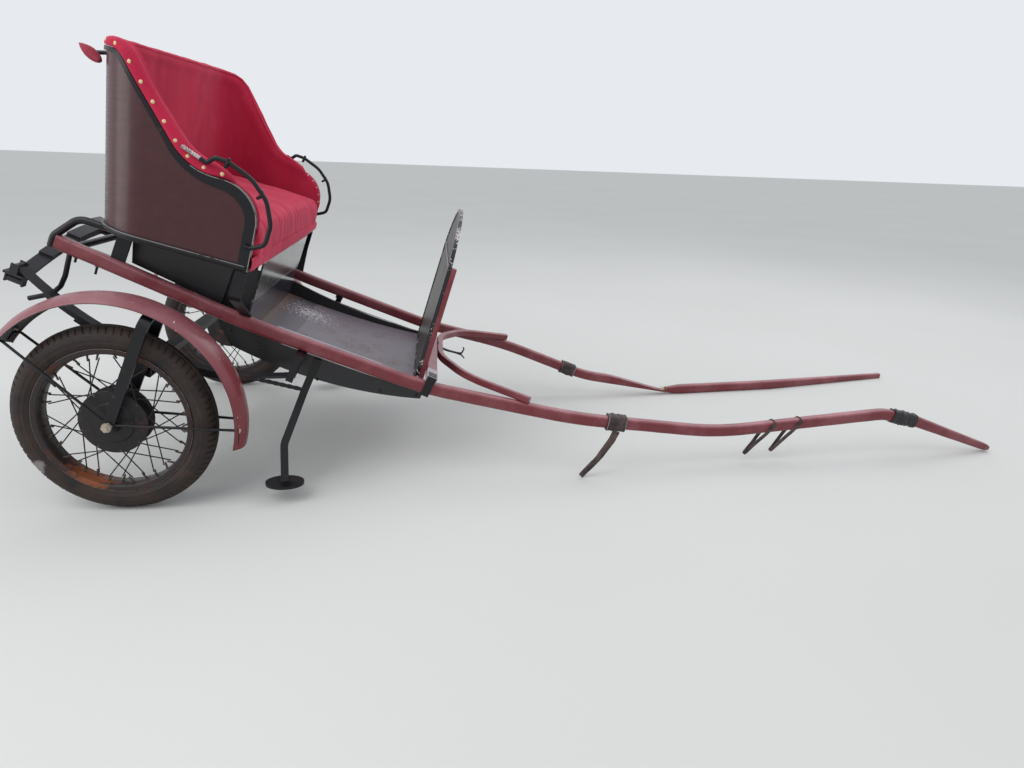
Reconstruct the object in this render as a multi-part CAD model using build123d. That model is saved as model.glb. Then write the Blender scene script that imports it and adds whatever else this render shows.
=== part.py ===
from build123d import *
from math import asin, atan2, cos, degrees, hypot, radians, sin, tan
import os

# A light two-wheeled gig for one horse, parked nose down on its shafts.
# It is drawn in the driving attitude, shafts level: X forward, Y to the left, Z up, millimetres,
# with the wheel axis at x = 0. The whole gig is then tipped about that axis until its sound
# shaft tip stands on the floor.

seat_gap = 0.3

# Wheels: 18 inch wire wheels with pressed steel rims and 80 mm tyres
tyre_diameter = 630.0
tyre_width = 80.0
tyre_shoulder_drop = 22.0
tyre_shoulder_inset = 6.0
tyre_side_bulge = 4.0
rim_diameter = 485.0
rim_width = 66.0
bead_diameter = 457.2
rim_wall = 4.0
rim_well_depth = 14.6
rim_well_width = 24.0
rim_well_slope = 4.0
half_track = 639.0
axle_z = tyre_diameter / 2

# Hubs: a brake drum between two spoke flanges, with a stepped cover on each side
hub_flange_diameter = 210.0
hub_drum_diameter = 184.0
hub_drum_shoulder = 3.0
hub_cover_diameter = 128.0
hub_cover_height = 7.0
hub_rim_height = 2.0
hub_rim_width = 4.0
hub_cone_height = 10.0
hub_cone_width = 6.0
hub_flange_gap = 54.0
hub_flange_thickness = 4.0
hub_boss_diameter = 50.0
hub_length = 110.0

# Spokes
spoke_count = 36
spoke_diameter = 4.0
spoke_lean = 40.0
spoke_end_gap = 1.7
spoke_hole_inset = 6.0
spoke_head_spread = 5.0
spoke_seat_depth = 0.5

# Axle pins
axle_pin_diameter = 16.0
axle_running_gap = 0.05
nut_across_flats = 27.0
nut_thickness = 13.0
pin_overhang = 8.0

# Wheel forks, arched over the tyres, and the beam that joins them
fork_bar_width = 34.0
fork_bar_thickness = 10.0
fork_side_gap = 6.0
fork_tyre_gap = 67.0
fork_crown_z = tyre_diameter + fork_tyre_gap
fork_bend = 42.0
fork_eye_diameter = 40.0
beam_size = 36.0
beam_z = 478.0

# Springs: one along each side on the beam, one across at the back
spring_inset = 117.0
spring_y = half_track - spring_inset
spring_width = 45.0
leaf_thickness = 8.0
spring_eye_diameter = 22.0
spring_pin_diameter = 12.0
side_spring_half_length = 440.0
side_spring_camber = 110.0
side_leaf_shares = (1.0, 0.78, 0.54, 0.3)
cross_spring_x = -440.0
cross_spring_camber = 120.0
cross_leaf_shares = (1.0, 0.72, 0.42)
shackle_length = 46.0
shackle_cheek = 5.0
shackle_web = 8.0
shackle_end = 12.0
clamp_bolt_diameter = 10.0
clamp_plate = 8.0
clamp_margin = 2.0
hanger_cheek = 6.0
hanger_bridge = 10.0
hanger_width = 32.0
hanger_reach = 32.0

# Mudguards and their stays
fender_tyre_gap = 70.0
fender_radius = tyre_diameter / 2 + fender_tyre_gap
fender_centre_x = 20.0
fender_lift = 55.0
fender_centre_z = axle_z + fender_lift
fender_width = 116.0
fender_crown = 12.0
fender_sheet = 2.5
fender_front_angle = 3.0
fender_rear_angle = 184.0
stay_diameter = 10.0
stay_edge_inset = 6.0
stay_foot_height = 12.0
# the angles round the mudguard where a front and a rear stay meet it
stay_angles = (8.0, 164.0)

# Shafts: bent ash bars, rounded, rising to the horse's shoulder
shaft_width = 38.0
shaft_height = 46.0
shaft_corner = 12.0
shaft_tip_width = 26.0
shaft_tip_height = 28.0
# columns: x along the gig, half spacing, height of the centre line, bend radius there
shaft_stations = (
    (-382.0, 470.0, 738.0, 0.0),
    (250.0, 470.0, 728.0, 2400.0),
    (880.0, 470.0, 762.0, 1200.0),
    (1450.0, 440.0, 869.0, 2400.0),
    (2030.0, 365.0, 1030.0, 1200.0),
    (2700.0, 300.0, 1385.0, 260.0),
)
shaft_tip_stations = (
    (2860.0, 293.0, 1415.0),
    (3277.0, 270.0, 1449.0),
)
# The left shaft is snapped beyond the bow and what is left of it sags
stub_stations = (
    (-382.0, 470.0, 738.0, 0.0),
    (250.0, 470.0, 728.0, 2400.0),
    (880.0, 470.0, 762.0, 1200.0),
    (1250.0, 456.0, 832.0, 1500.0),
    (1700.0, 464.0, 852.0, 700.0),
    (2150.0, 490.0, 966.0, 0.0),
)
splinter_length = 340.0
splinter_share = 0.12
broken_piece_length = 620.0
broken_piece_tuck = 5.0
broken_piece_angles = (8.0, 14.0)
broken_tip_length = 800.0
broken_tip_width = 26.0
broken_tip_height = 28.0
broken_chip_length = 40.0
broken_chip_share = 0.5

# Leather on the shafts: tug stops, harness loops and a wrapping. Columns: x of each end, along
# the shaft for the stops and the wrapping, and of the middle for the loops
tug_stop_span = (1570.0, 1646.0)
tug_stop_leather = 6.0
tug_strap_width = 32.0
tug_strap_thickness = 4.0
tug_strap_length = 215.0
loop_places = (2237.0, 2340.0)
loop_width = 20.0
loop_leather = 4.0
loop_drop = 150.0
loop_foot = 5.0
loop_lean = 13.0
wrap_span = (2734.0, 2850.0)
wrap_leather = 3.0

# Cross bar, bow and trace hook
bar_x = 884.0
bar_width = 36.0
bar_height = 22.0
strap_width = 30.0
strap_thickness = 3.0
bow_width = 24.0
bow_height = 26.0
bow_corner = 4.0
# columns: x of the bow's centre line, half spacing there, bend radius
bow_stations = (
    (916.0, 150.0, 260.0),
    (1020.0, 342.0, 260.0),
    (1250.0, 458.0, 0.0),
)
hook_diameter = 14.0
hook_length = 110.0
hook_rise = 34.0
hook_prong = 28.0
hook_bend = 12.0
hook_plate = 6.0
hook_plate_width = 44.0

# Tray under the feet
tray_half_width = 422.0
side_board = 18.0
tray_front_x = 884.0
floor_board = 12.0
floor_rear_x = 150.0
# columns: x and height of three points on the floor's upper face, which sags like a boat's
floor_points = ((150.0, 648.0), (500.0, 664.0), (878.0, 722.0))
side_top_points = ((130.0, 716.0), (540.0, 698.0), (884.0, 732.0))
side_foot_points = ((884.0, 698.0), (560.0, 620.0), (204.0, 614.0))
riser_rear_x = -200.0
riser_foot_x = -172.0
riser_foot_z = 752.0
riser_knee_x = 80.0
riser_knee_z = 740.0
riser_front_x = 128.0
bearer_places = (270.0, 500.0, 730.0)
bearer_width = 40.0
bearer_height = 24.0

# Seat: a tub on the raised rear part of the tray's sides, pitched back.
# Its sizes are in its own upright frame, turned about the axle's plane at the base's height.
seat_pitch = 9.0
seat_base_z = 893.0
seat_half_width = 600.0
seat_front_x = 207.0
seat_rear_x = -265.0
seat_corner = 150.0
seat_back_lean = 6.2
seat_wall = 15.0
seat_back_z = 1415.0
seat_arm_z = 1150.0
seat_slope_top_x = -245.0
seat_slope_foot_x = -16.0
seat_back_bend = 60.0
seat_arm_bend = 170.0
seat_front_bend = 115.0
edge_iron_width = 34.0
edge_iron_thickness = 5.0
base_board = 12.0
seat_board_z = 905.0
seat_board_thickness = 15.0
lining_thickness = 28.0
lining_rise = 40.0
cushion_height = 115.0
cushion_side_gap = 4.0
cushion_nose = 22.0
cushion_nose_bend = 40.0
heel_board_thickness = 6.0
heel_foot_x = 226.0
soft_gap = 0.3

# Dashboard: two posts, a panel with an arched top and an iron edge
dash_foot_x = 848.0
dash_lean = 7.5
dash_post_height = 465.0
dash_arch_rise = 178.0
dash_top_half_width = 392.0
dash_sheet = 6.0
dash_iron = 14.0
dash_rail_width = 10.0
dash_post_width = 27.0
dash_post_depth = 18.0

# Tubes and small irons
tube_diameter = 24.0
crossbar_inset = 50.0
hoop_y = 490.0
hoop_rise = 48.0
hoop_bend = 40.0
hoop_crown_x = -290.0
hoop_crown_bend = 60.0
hoop_end_x = -60.0
rail_diameter = 14.0
# columns: x and height of the arm rail's corners, bend radius there
rail_stations = (
    (-66.0, 1152.0, 0.0),
    (-60.0, 1197.0, 8.0),
    (-5.0, 1191.0, 12.0),
    (10.0, 1214.0, 14.0),
    (50.0, 1216.0, 60.0),
    (125.0, 1200.0, 100.0),
    (185.0, 1160.0, 80.0),
    (222.0, 1095.0, 80.0),
    (226.0, 1030.0, 26.0),
    (190.0, 1003.0, 20.0),
    (170.0, 1003.0, 0.0),
)
strut_x = -200.0
strut_width = 44.0
strut_thickness = 10.0
leg_width = 36.0
leg_thickness = 8.0
leg_bend = 30.0
leg_drop = 90.0
leg_step = 8.0
grip_length = 95.0
grip_diameter = 36.0
grip_end_share = 0.35
grip_droop = 9.0
grip_yaw = 30.0
grip_inset = 130.0
grip_behind = 46.4
grip_below = 33.4
grip_iron_diameter = 12.0
grip_iron_reach = 90.0
grip_iron_rise = 42.0

# Irons that hook back from under the shafts' rear ends
rear_iron_diameter = 16.0
# columns: x and height of the iron's corners, bend radius there
rear_iron_stations = (
    (-338.0, 738.0, 0.0),
    (-330.0, 640.0, 60.0),
    (-334.0, 600.0, 30.0),
    (-352.0, 564.0, 40.0),
    (-412.0, 520.0, 0.0),
)

# Steps
stay_iron = 12.0
step_stay_height = 563.0
step_pad_length = 130.0
step_pad_width = 95.0
step_pad_thickness = 10.0
step_pad_tilt = -24.0
step_bar_width = 26.0
step_bar_thickness = 10.0
step_bend = 60.0
# columns: x, half spacing (0 for the tray's side), height of the step iron's corners
step_stations = (
    (495.0, 0.0, 690.0),
    (495.0, 0.0, 560.0),
    (507.0, 560.0, 400.0),
    (561.0, 612.0, 292.0),
)


def flat_section(width, height, corner=0.0):
    """A bar's section, flat sided or with rounded corners."""
    if corner > 0:
        return RectangleRounded(width, height, corner)
    return Rectangle(width, height)


def swept(section, path, across):
    """The section carried along the path, its width turned towards the vector across."""
    start = path @ 0
    along = path % 0
    side = Vector(*across)
    side = (side - along * side.dot(along)).normalized()
    return sweep(Plane(origin=start, x_dir=side, z_dir=along) * section, path=path)


def section_at(point, way, section):
    """The section set square across the direction way, its width kept level."""
    across = Vector(0, 1, 0)
    across = (across - way * across.dot(way)).normalized()
    return Plane(origin=point, x_dir=across, z_dir=way) * section


def point_at_x(path, x):
    """The point of a path that runs forward where it passes x, with its direction there."""
    low, high = 0.0, 1.0
    for _ in range(40):
        middle = (low + high) / 2
        if (path @ middle).X < x:
            low = middle
        else:
            high = middle
    return path @ low, path % low


def rod(start, end, diameter):
    """A round rod from one point to another."""
    run = Vector(*end) - Vector(*start)
    base = Plane(origin=start, z_dir=run.normalized())
    return base * Cylinder(diameter / 2, run.length, align=(Align.CENTER, Align.CENTER, Align.MIN))


def block(x0, x1, y0, y1, z0, z1):
    """A plain block between six planes."""
    return Pos((x0 + x1) / 2, (y0 + y1) / 2, (z0 + z1) / 2) * Box(abs(x1 - x0), abs(y1 - y0), abs(z1 - z0))


def biggest(shape):
    """The largest solid that a cut leaves."""
    return max(shape.solids(), key=lambda solid: solid.volume)


# Wheels

def turned(*corners, centre_y):
    """A ring or disc turned about the wheel axis from a profile of (offset, radius) corners."""
    outline = Polyline(*[(centre_y + y, axle_z + r) for y, r in corners], close=True)
    profile = make_face(Plane.YZ * outline)
    return revolve(profile, Axis((0, 0, axle_z), (0, 1, 0)), 360)


def tyre(centre_y):
    """A tyre seated on the rim's bead, round across the tread."""
    bead = bead_diameter / 2 + seat_gap
    flange = rim_diameter / 2
    half_bead = rim_width / 2 - rim_wall - seat_gap
    half = tyre_width / 2
    top = tyre_diameter / 2
    shoulder = top - tyre_shoulder_drop
    shoulder_y = half - tyre_shoulder_inset
    bulge = (flange + shoulder) / 2 + tyre_side_bulge
    outline = [
        Line((-half_bead, flange), (-half_bead, bead)),
        Line((-half_bead, bead), (half_bead, bead)),
        Line((half_bead, bead), (half_bead, flange)),
        ThreePointArc((half_bead, flange), (half, bulge), (shoulder_y, shoulder)),
        ThreePointArc((shoulder_y, shoulder), (0, top), (-shoulder_y, shoulder)),
        ThreePointArc((-shoulder_y, shoulder), (-half, bulge), (-half_bead, flange)),
    ]
    profile = make_face(Plane.YZ * Pos(centre_y, axle_z) * Wire(outline))
    return revolve(profile, Axis((0, 0, axle_z), (0, 1, 0)), 360)


def rim(centre_y):
    """A pressed steel rim: two flanges, two bead seats and a well."""
    half = rim_width / 2
    top = rim_diameter / 2
    seat = bead_diameter / 2
    well = seat - rim_well_depth
    floor = rim_well_width / 2 - rim_well_slope / 2
    mouth = rim_well_width / 2 + rim_well_slope / 2
    outer = [(-half + rim_wall, top), (-half + rim_wall, seat), (-mouth, seat), (-floor, well),
             (floor, well), (mouth, seat), (half - rim_wall, seat), (half - rim_wall, top)]
    inner = [(half, top), (half, seat - rim_wall), (mouth + rim_wall, seat - rim_wall),
             (floor + rim_wall, well - rim_wall), (-floor - rim_wall, well - rim_wall),
             (-mouth - rim_wall, seat - rim_wall), (-half, seat - rim_wall), (-half, top)]
    return turned(*outer, *inner, centre_y=centre_y)


def hub(centre_y):
    """A drum hub with two spoke flanges, a stepped cover each side and crossed spokes."""
    bore = axle_pin_diameter / 2 + axle_running_gap
    half = hub_length / 2
    face = hub_flange_gap / 2
    flange = hub_flange_diameter / 2
    boss = hub_boss_diameter / 2
    cover = hub_cover_diameter / 2
    outer = face + hub_flange_thickness
    side = [(half, bore), (half, boss), (outer + hub_cone_height, boss + hub_cone_width),
            (outer + hub_cover_height, cover), (outer + hub_rim_height, cover + hub_rim_width),
            (outer, flange), (face, flange), (face - hub_drum_shoulder, hub_drum_diameter / 2)]
    corners = side + [(-y, r) for y, r in reversed(side)]
    body = turned(*corners, centre_y=centre_y)
    well = bead_diameter / 2 - rim_well_depth - rim_wall - spoke_end_gap
    reach = flange - spoke_hole_inset
    spokes = []
    for number in range(spoke_count):
        side_sign = 1 if number % 2 else -1
        lean = spoke_lean if (number // 2) % 2 else -spoke_lean
        face_y = outer - spoke_seat_depth if lean > 0 else face + spoke_seat_depth
        rim_angle = radians(360 / spoke_count * number)
        hub_angle = rim_angle - radians(lean)
        foot = (reach * cos(hub_angle), centre_y + side_sign * face_y, axle_z + reach * sin(hub_angle))
        head = (well * cos(rim_angle), centre_y + side_sign * spoke_head_spread,
                axle_z + well * sin(rim_angle))
        spokes.append(rod(foot, head, spoke_diameter))
    return body.fuse(*spokes)


def axle_pin(side):
    """The fixed pin that a wheel turns on, with a nut outside each fork leg."""
    centre_y = side * half_track
    leg = hub_length / 2 + fork_side_gap + fork_bar_thickness
    reach = leg + nut_thickness + pin_overhang
    pin = rod((0, centre_y - reach, axle_z), (0, centre_y + reach, axle_z), axle_pin_diameter)
    for way in (-1, 1):
        nut = extrude(RegularPolygon(nut_across_flats / 2, 6, major_radius=False), nut_thickness)
        pin = pin + Plane(origin=(0, centre_y + way * leg, axle_z), z_dir=(0, way, 0)) * nut
    return pin


def wheel_fork(side):
    """A flat bar bent over the tyre, with an eye at each foot for the pin."""
    offset = hub_length / 2 + fork_side_gap + fork_bar_thickness / 2
    inner = side * (half_track - offset)
    outer = side * (half_track + offset)
    path = FilletPolyline((0, outer, axle_z), (0, outer, fork_crown_z), (0, inner, fork_crown_z),
                          (0, inner, axle_z), radius=fork_bend)
    fork = swept(flat_section(fork_bar_width, fork_bar_thickness), path, (1, 0, 0))
    for y in (inner, outer):
        foot = Plane(origin=(0, y, axle_z), z_dir=(0, 1, 0))
        fork = fork + foot * Cylinder(fork_eye_diameter / 2, fork_bar_thickness)
    for y in (inner, outer):
        foot = Plane(origin=(0, y, axle_z), z_dir=(0, 1, 0))
        fork = fork - foot * Cylinder(axle_pin_diameter / 2 + seat_gap, 2 * fork_bar_thickness)
    return fork


def axle_beam():
    """A square beam between the inner legs of the two forks."""
    half = half_track - hub_length / 2 - fork_side_gap - fork_bar_thickness
    return Pos(0, 0, beam_z) * Box(beam_size, 2 * half, beam_size)


# Mudguards

def fender(side):
    """A crowned strip of sheet round the top of the wheel."""
    half = fender_width / 2
    top = fender_radius
    edge = top - fender_crown
    outline = [
        ThreePointArc((-half, edge), (0, top), (half, edge)),
        Line((half, edge), (half, edge - fender_sheet)),
        ThreePointArc((half, edge - fender_sheet), (0, top - fender_sheet), (-half, edge - fender_sheet)),
        Line((-half, edge - fender_sheet), (-half, edge)),
    ]
    profile = make_face(Plane.YZ * Pos(side * half_track, fender_centre_z) * Wire(outline))
    profile = Pos(fender_centre_x, 0, 0) * profile
    axis = Axis((fender_centre_x, 0, fender_centre_z), (0, -1, 0))
    start = profile.rotate(axis, fender_front_angle - 90)
    return revolve(start, axis, fender_rear_angle - fender_front_angle)


def fender_stays(side, guard, fork):
    """Four rods from the feet of a fork to the ends of its mudguard."""
    offset = hub_length / 2 + fork_side_gap + fork_bar_thickness / 2
    reach = fender_radius - fender_sheet
    rods = []
    for way in (-1, 1):
        foot_y = side * half_track + way * offset
        end_y = side * half_track + way * (fender_width / 2 - stay_edge_inset)
        for end, angle in zip((1, -1), stay_angles):
            foot = (end * fork_bar_width / 2, foot_y, axle_z + stay_foot_height)
            head = (fender_centre_x + reach * cos(radians(angle)), end_y,
                    fender_centre_z + reach * sin(radians(angle)))
            rods.append(rod(foot, head, stay_diameter))
    return Compound(children=[biggest(piece - fork - guard) for piece in rods])


# Springs

def arch_radius(half_length, camber):
    return (half_length ** 2 + camber ** 2) / (2 * camber)


def leaf(half_length, radius, depth):
    """One arched leaf in the plane of X and Z, its middle at the origin and its ends up."""
    share = asin(half_length / radius)
    outer = radius + leaf_thickness * depth
    inner = outer - leaf_thickness

    def at(r, angle):
        return (r * sin(angle), radius - r * cos(angle))

    outline = [
        ThreePointArc(at(outer, -share), at(outer, 0), at(outer, share)),
        Line(at(outer, share), at(inner, share)),
        ThreePointArc(at(inner, share), at(inner, 0), at(inner, -share)),
        Line(at(inner, -share), at(outer, -share)),
    ]
    return extrude(make_face(Plane.XZ * Wire(outline)), spring_width / 2, both=True)


def leaf_spring(half_length, camber, shares):
    """A pack of leaves, the longest on the inside of the curve, with an eye at each end."""
    radius = arch_radius(half_length, camber)
    leaves = [leaf(half_length * share, radius, depth) for depth, share in enumerate(shares)]
    pack = leaves[0].fuse(*leaves[1:])
    bore = spring_pin_diameter / 2 + seat_gap
    for way in (-1, 1):
        eye = Plane(origin=(way * half_length, 0, camber), z_dir=(0, 1, 0))
        pack = pack + eye * Cylinder(spring_eye_diameter / 2, spring_width)
        pack = pack - eye * Cylinder(bore, 2 * spring_width)
    return pack


def side_spring_base_z():
    """The inside of the longest leaf at the middle, the pack standing on the beam."""
    return beam_z + beam_size / 2 + seat_gap + leaf_thickness * (len(side_leaf_shares) - 1)


def side_spring_eye_z():
    return side_spring_base_z() + side_spring_camber


def cross_spring_eye_z():
    return side_spring_eye_z() - shackle_length


def cross_spring_top_z():
    middle = cross_spring_eye_z() + cross_spring_camber
    return middle + leaf_thickness * (len(cross_leaf_shares) - 1)


def clamp(bottom, top, bar_half):
    """Two plates and four bolts round a spring pack that crosses a bar, about the origin."""
    bolt_x = bar_half + seat_gap + clamp_bolt_diameter / 2
    bolt_y = spring_width / 2 + seat_gap + clamp_bolt_diameter / 2
    half_x = bolt_x + clamp_bolt_diameter / 2 + clamp_margin
    half_y = bolt_y + clamp_bolt_diameter / 2 + clamp_margin
    plates = block(-half_x, half_x, -half_y, half_y, top, top + clamp_plate)
    plates = plates + block(-half_x, half_x, -half_y, half_y, bottom - clamp_plate, bottom)
    for x in (-bolt_x, bolt_x):
        for y in (-bolt_y, bolt_y):
            plates = plates + rod((x, y, bottom - clamp_plate), (x, y, top + clamp_plate), clamp_bolt_diameter)
    return plates


def side_spring(side):
    """The spring along one side, clamped on the beam."""
    pack = leaf_spring(side_spring_half_length, side_spring_camber, side_leaf_shares)
    pack = Pos(0, 0, side_spring_base_z()) * pack
    bottom = beam_z - beam_size / 2 - seat_gap
    top = side_spring_base_z() + leaf_thickness
    pack = pack + clamp(bottom, top, beam_size / 2)
    return Pos(0, side * spring_y, 0) * pack


def cross_spring():
    """The spring across the back, its middle up under the rear bar and its ends down."""
    pack = leaf_spring(spring_y, cross_spring_camber, cross_leaf_shares)
    pack = pack.rotate(Axis.X, 180).rotate(Axis.Z, 90)
    return Pos(cross_spring_x, 0, cross_spring_eye_z() + cross_spring_camber) * pack


def spring_shackles():
    """A double link a side: its upper jaw holds the side spring, its lower jaw the cross spring."""
    jaw = spring_width / 2 + seat_gap
    half = jaw + shackle_cheek
    middle = (side_spring_eye_z() + cross_spring_eye_z()) / 2
    links = []
    for side in (-1, 1):
        x, y = -side_spring_half_length, side * spring_y
        upper, lower = side_spring_eye_z(), cross_spring_eye_z()
        link = block(x - half, x + half, y - half, y + half, middle - shackle_web / 2, middle + shackle_web / 2)
        for way in (-1, 1):
            link = link + block(x - shackle_end, x + shackle_end, y + way * jaw, y + way * half,
                                middle, upper + shackle_end)
            link = link + block(x + way * jaw, x + way * half, y - shackle_end, y + shackle_end,
                                lower - shackle_end, middle)
        link = link + rod((x, y - half, upper), (x, y + half, upper), spring_pin_diameter)
        link = link + rod((x - half, y, lower), (x + half, y, lower), spring_pin_diameter)
        links.append(link)
    return Compound(children=links)


def spring_hanger(side, shaft_piece):
    """The bracket under a shaft that holds a side spring's front end in a jaw."""
    x = side_spring_half_length
    point, _ = point_at_x(shaft_line(shaft_stations, side), x)
    top = point.Z - shaft_height / 2 - seat_gap
    jaw = spring_width / 2 + seat_gap
    inner = side * (shaft_stations[0][1] - shaft_width / 2)
    outer = side * (spring_y + jaw + hanger_cheek)
    half = hanger_width / 2
    bracket = block(x - half, x + half, inner, outer, top - hanger_bridge, top)
    for way in (-1, 1):
        y = side * spring_y + way * jaw
        bracket = bracket + block(x - shackle_end, x + shackle_end, y, y + way * hanger_cheek,
                                  side_spring_eye_z() - shackle_end, top)
    reach = jaw + hanger_cheek
    pin = rod((x, side * spring_y - reach, side_spring_eye_z()),
              (x, side * spring_y + reach, side_spring_eye_z()), spring_pin_diameter)
    return bracket + pin - shaft_piece


# Shafts

def shaft_line(stations, side, tip=None):
    """The centre line of a shaft through its stations, bent at each one between its ends."""
    points = [(x, side * y, z) for x, y, z, _ in stations]
    radii = [station[3] for station in stations[1:]]
    if tip:
        points.append((tip[0], side * tip[1], tip[2]))
    else:
        radii = radii[:-1]
    return FilletPolyline(*points, radius=radii)


def shaft(side):
    """A whole shaft, its tip tapered beyond the last bend."""
    path = shaft_line(shaft_stations, side, shaft_tip_stations[0])
    bar = swept(flat_section(shaft_width, shaft_height, shaft_corner), path, (0, 1, 0))
    start, along = path @ 1, path % 1
    end = Vector(shaft_tip_stations[1][0], side * shaft_tip_stations[1][1], shaft_tip_stations[1][2])
    tip_corner = shaft_corner * shaft_tip_width / shaft_width
    sections = [section_at(start, along, flat_section(shaft_width, shaft_height, shaft_corner)),
                section_at(end, (end - start).normalized(),
                           flat_section(shaft_tip_width, shaft_tip_height, tip_corner))]
    return bar + loft(sections, ruled=True)


def broken_shaft(side):
    """The left shaft as it is left: snapped, with a long splinter along its underside."""
    path = shaft_line(stub_stations, side)
    bar = swept(flat_section(shaft_width, shaft_height, shaft_corner), path, (0, 1, 0))
    end, along = path @ 1, path % 1
    start = end - along * splinter_length
    slope = degrees(atan2(shaft_height * (1 - splinter_share), splinter_length))
    break_face = Plane(origin=start, x_dir=Vector(0, 1, 0), z_dir=along)
    room = 4 * shaft_height
    waste = Rot(slope, 0, 0) * Pos(0, room / 2, splinter_length) * Box(room, room, 4 * splinter_length)
    waste = break_face * Pos(0, shaft_height / 2, 0) * waste
    return biggest(bar - waste), end


def shaft_top(side, x):
    """The height of the sound shaft's upper face at x, with the centre line's point there."""
    point, along = point_at_x(shaft_line(shaft_stations, side), x)
    return point.Z + shaft_height / 2 / cos(atan2(along.Z, along.X)), point


def leather_collar(path, span, leather):
    """A sleeve of leather round a shaft between two places along it."""
    start, end = [point_at_x(path, x)[0] for x in span]
    way = (end - start).normalized()
    inner = seat_gap
    outer = seat_gap + leather
    ring = (flat_section(shaft_width + 2 * outer, shaft_height + 2 * outer, shaft_corner + outer)
            - flat_section(shaft_width + 2 * inner, shaft_height + 2 * inner, shaft_corner + inner))
    return extrude(section_at(start, way, ring), (end - start).length, dir=way)


def tug_stops(shafts):
    """A leather collar on each shaft that the harness pushes on; a strap hangs from the right one."""
    stops = []
    for side, stations in ((-1, shaft_stations), (1, stub_stations)):
        collar = leather_collar(shaft_line(stations, side), tug_stop_span, tug_stop_leather)
        stops.append(biggest(collar - shafts[side]))
    middle = sum(tug_stop_span) / 2
    half = tug_strap_width / 2
    point, _ = point_at_x(shaft_line(shaft_stations, -1), middle)
    face = point.Y - shaft_width / 2 - tug_stop_leather - 2 * seat_gap
    strap = block(middle - half, middle + half, face - tug_strap_thickness, face,
                  point.Z - tug_strap_length, point.Z)
    return Compound(children=stops + [strap - stops[0]])


def shaft_loops(shafts):
    """Two narrow leather loops that hang from the right shaft, set backwards by long use."""
    path = shaft_line(shaft_stations, -1)
    lean = radians(loop_lean)
    half = shaft_width / 2 + seat_gap
    loops = []
    for x in loop_places:
        point, along = point_at_x(path, x)
        top = shaft_height / 2 / cos(atan2(along.Z, along.X) + lean) + seat_gap
        inside = make_face(Polyline((-half, top), (-half, -top), (-loop_foot / 2, -loop_drop),
                                    (loop_foot / 2, -loop_drop), (half, -top), (half, top), close=True))
        band = offset(inside, loop_leather) - inside
        hang = Plane(origin=point, x_dir=(0, 1, 0), z_dir=(cos(lean), 0, -sin(lean)))
        loop = hang * extrude(band, loop_width / 2, both=True)
        loops.append(biggest(loop - shafts[-1]))
    return Compound(children=loops)


# Cross bar and what it carries

def bar_base_z():
    return shaft_top(-1, bar_x + bar_width / 2)[0] + seat_gap


def splinter_bar():
    """The bar across both shafts at the foot of the dashboard."""
    half = shaft_stations[2][1] + shaft_width / 2
    base = bar_base_z()
    return block(bar_x - bar_width / 2, bar_x + bar_width / 2, -half, half, base, base + bar_height)


def splinter_straps(bar, shafts):
    """Iron straps that bind the bar's ends down to the shafts."""
    straps = []
    outer = shaft_width / 2 + strap_thickness
    half = strap_width / 2
    for side in (-1, 1):
        _, point = shaft_top(side, bar_x)
        top = bar_base_z() + bar_height + strap_thickness
        bottom = point.Z - shaft_height / 2 - 2 * strap_thickness
        ring = block(bar_x - half, bar_x + half, point.Y - outer, point.Y + outer, bottom, top)
        straps.append(biggest(ring - bar - shafts[side]))
    return Compound(children=straps)


def bow(bar, shafts):
    """A bent wooden hoop from shaft to shaft, its middle held against the bar."""
    end_z = shaft_top(1, bow_stations[-1][0])[0] + bow_height / 2
    middle_z = bar_base_z() + bow_height / 2
    first, last = bow_stations[0][0], bow_stations[-1][0]
    left = [(x, y, middle_z + (end_z - middle_z) * (x - first) / (last - first)) for x, y, _ in bow_stations]
    right = [(x, -y, z) for x, y, z in reversed(left)]
    radii = [radius for _, _, radius in bow_stations[:-1]]
    path = FilletPolyline(*right, *left, radius=list(reversed(radii)) + radii)
    hoop = swept(flat_section(bow_height, bow_width, bow_corner), path, (0, 0, 1))
    return biggest(hoop - bar - shafts[-1] - shafts[1])


def trace_hook(bar, hoop):
    """A forged hook under the middle of the bow, with a plate on the bar's underside."""
    base = bar_base_z()
    stem = base - seat_gap - hook_plate / 2
    front = bar_x + bar_width / 2
    path = FilletPolyline((front - bar_width / 2, 0, stem), (front + bow_width, 0, stem),
                          (front + hook_length, 0, stem + hook_rise),
                          (front + hook_length, 0, stem + hook_rise + hook_prong), radius=hook_bend)
    hook = swept(Circle(hook_diameter / 2), path, (0, 1, 0))
    plate = block(bar_x - bar_width / 2, front, -hook_plate_width / 2, hook_plate_width / 2,
                  base - seat_gap - hook_plate, base - seat_gap)
    return biggest(hook + plate - bar - hoop)


# Tray

def through(points):
    """An arc through three points given as (x, z)."""
    return ThreePointArc(*points)


def height_on(points, x):
    """The height of the arc through three points at x."""
    (x0, z0), (x1, z1), (x2, z2) = points
    return (z0 * (x - x1) * (x - x2) / ((x0 - x1) * (x0 - x2))
            + z1 * (x - x0) * (x - x2) / ((x1 - x0) * (x1 - x2))
            + z2 * (x - x0) * (x - x1) / ((x2 - x0) * (x2 - x1)))


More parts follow.
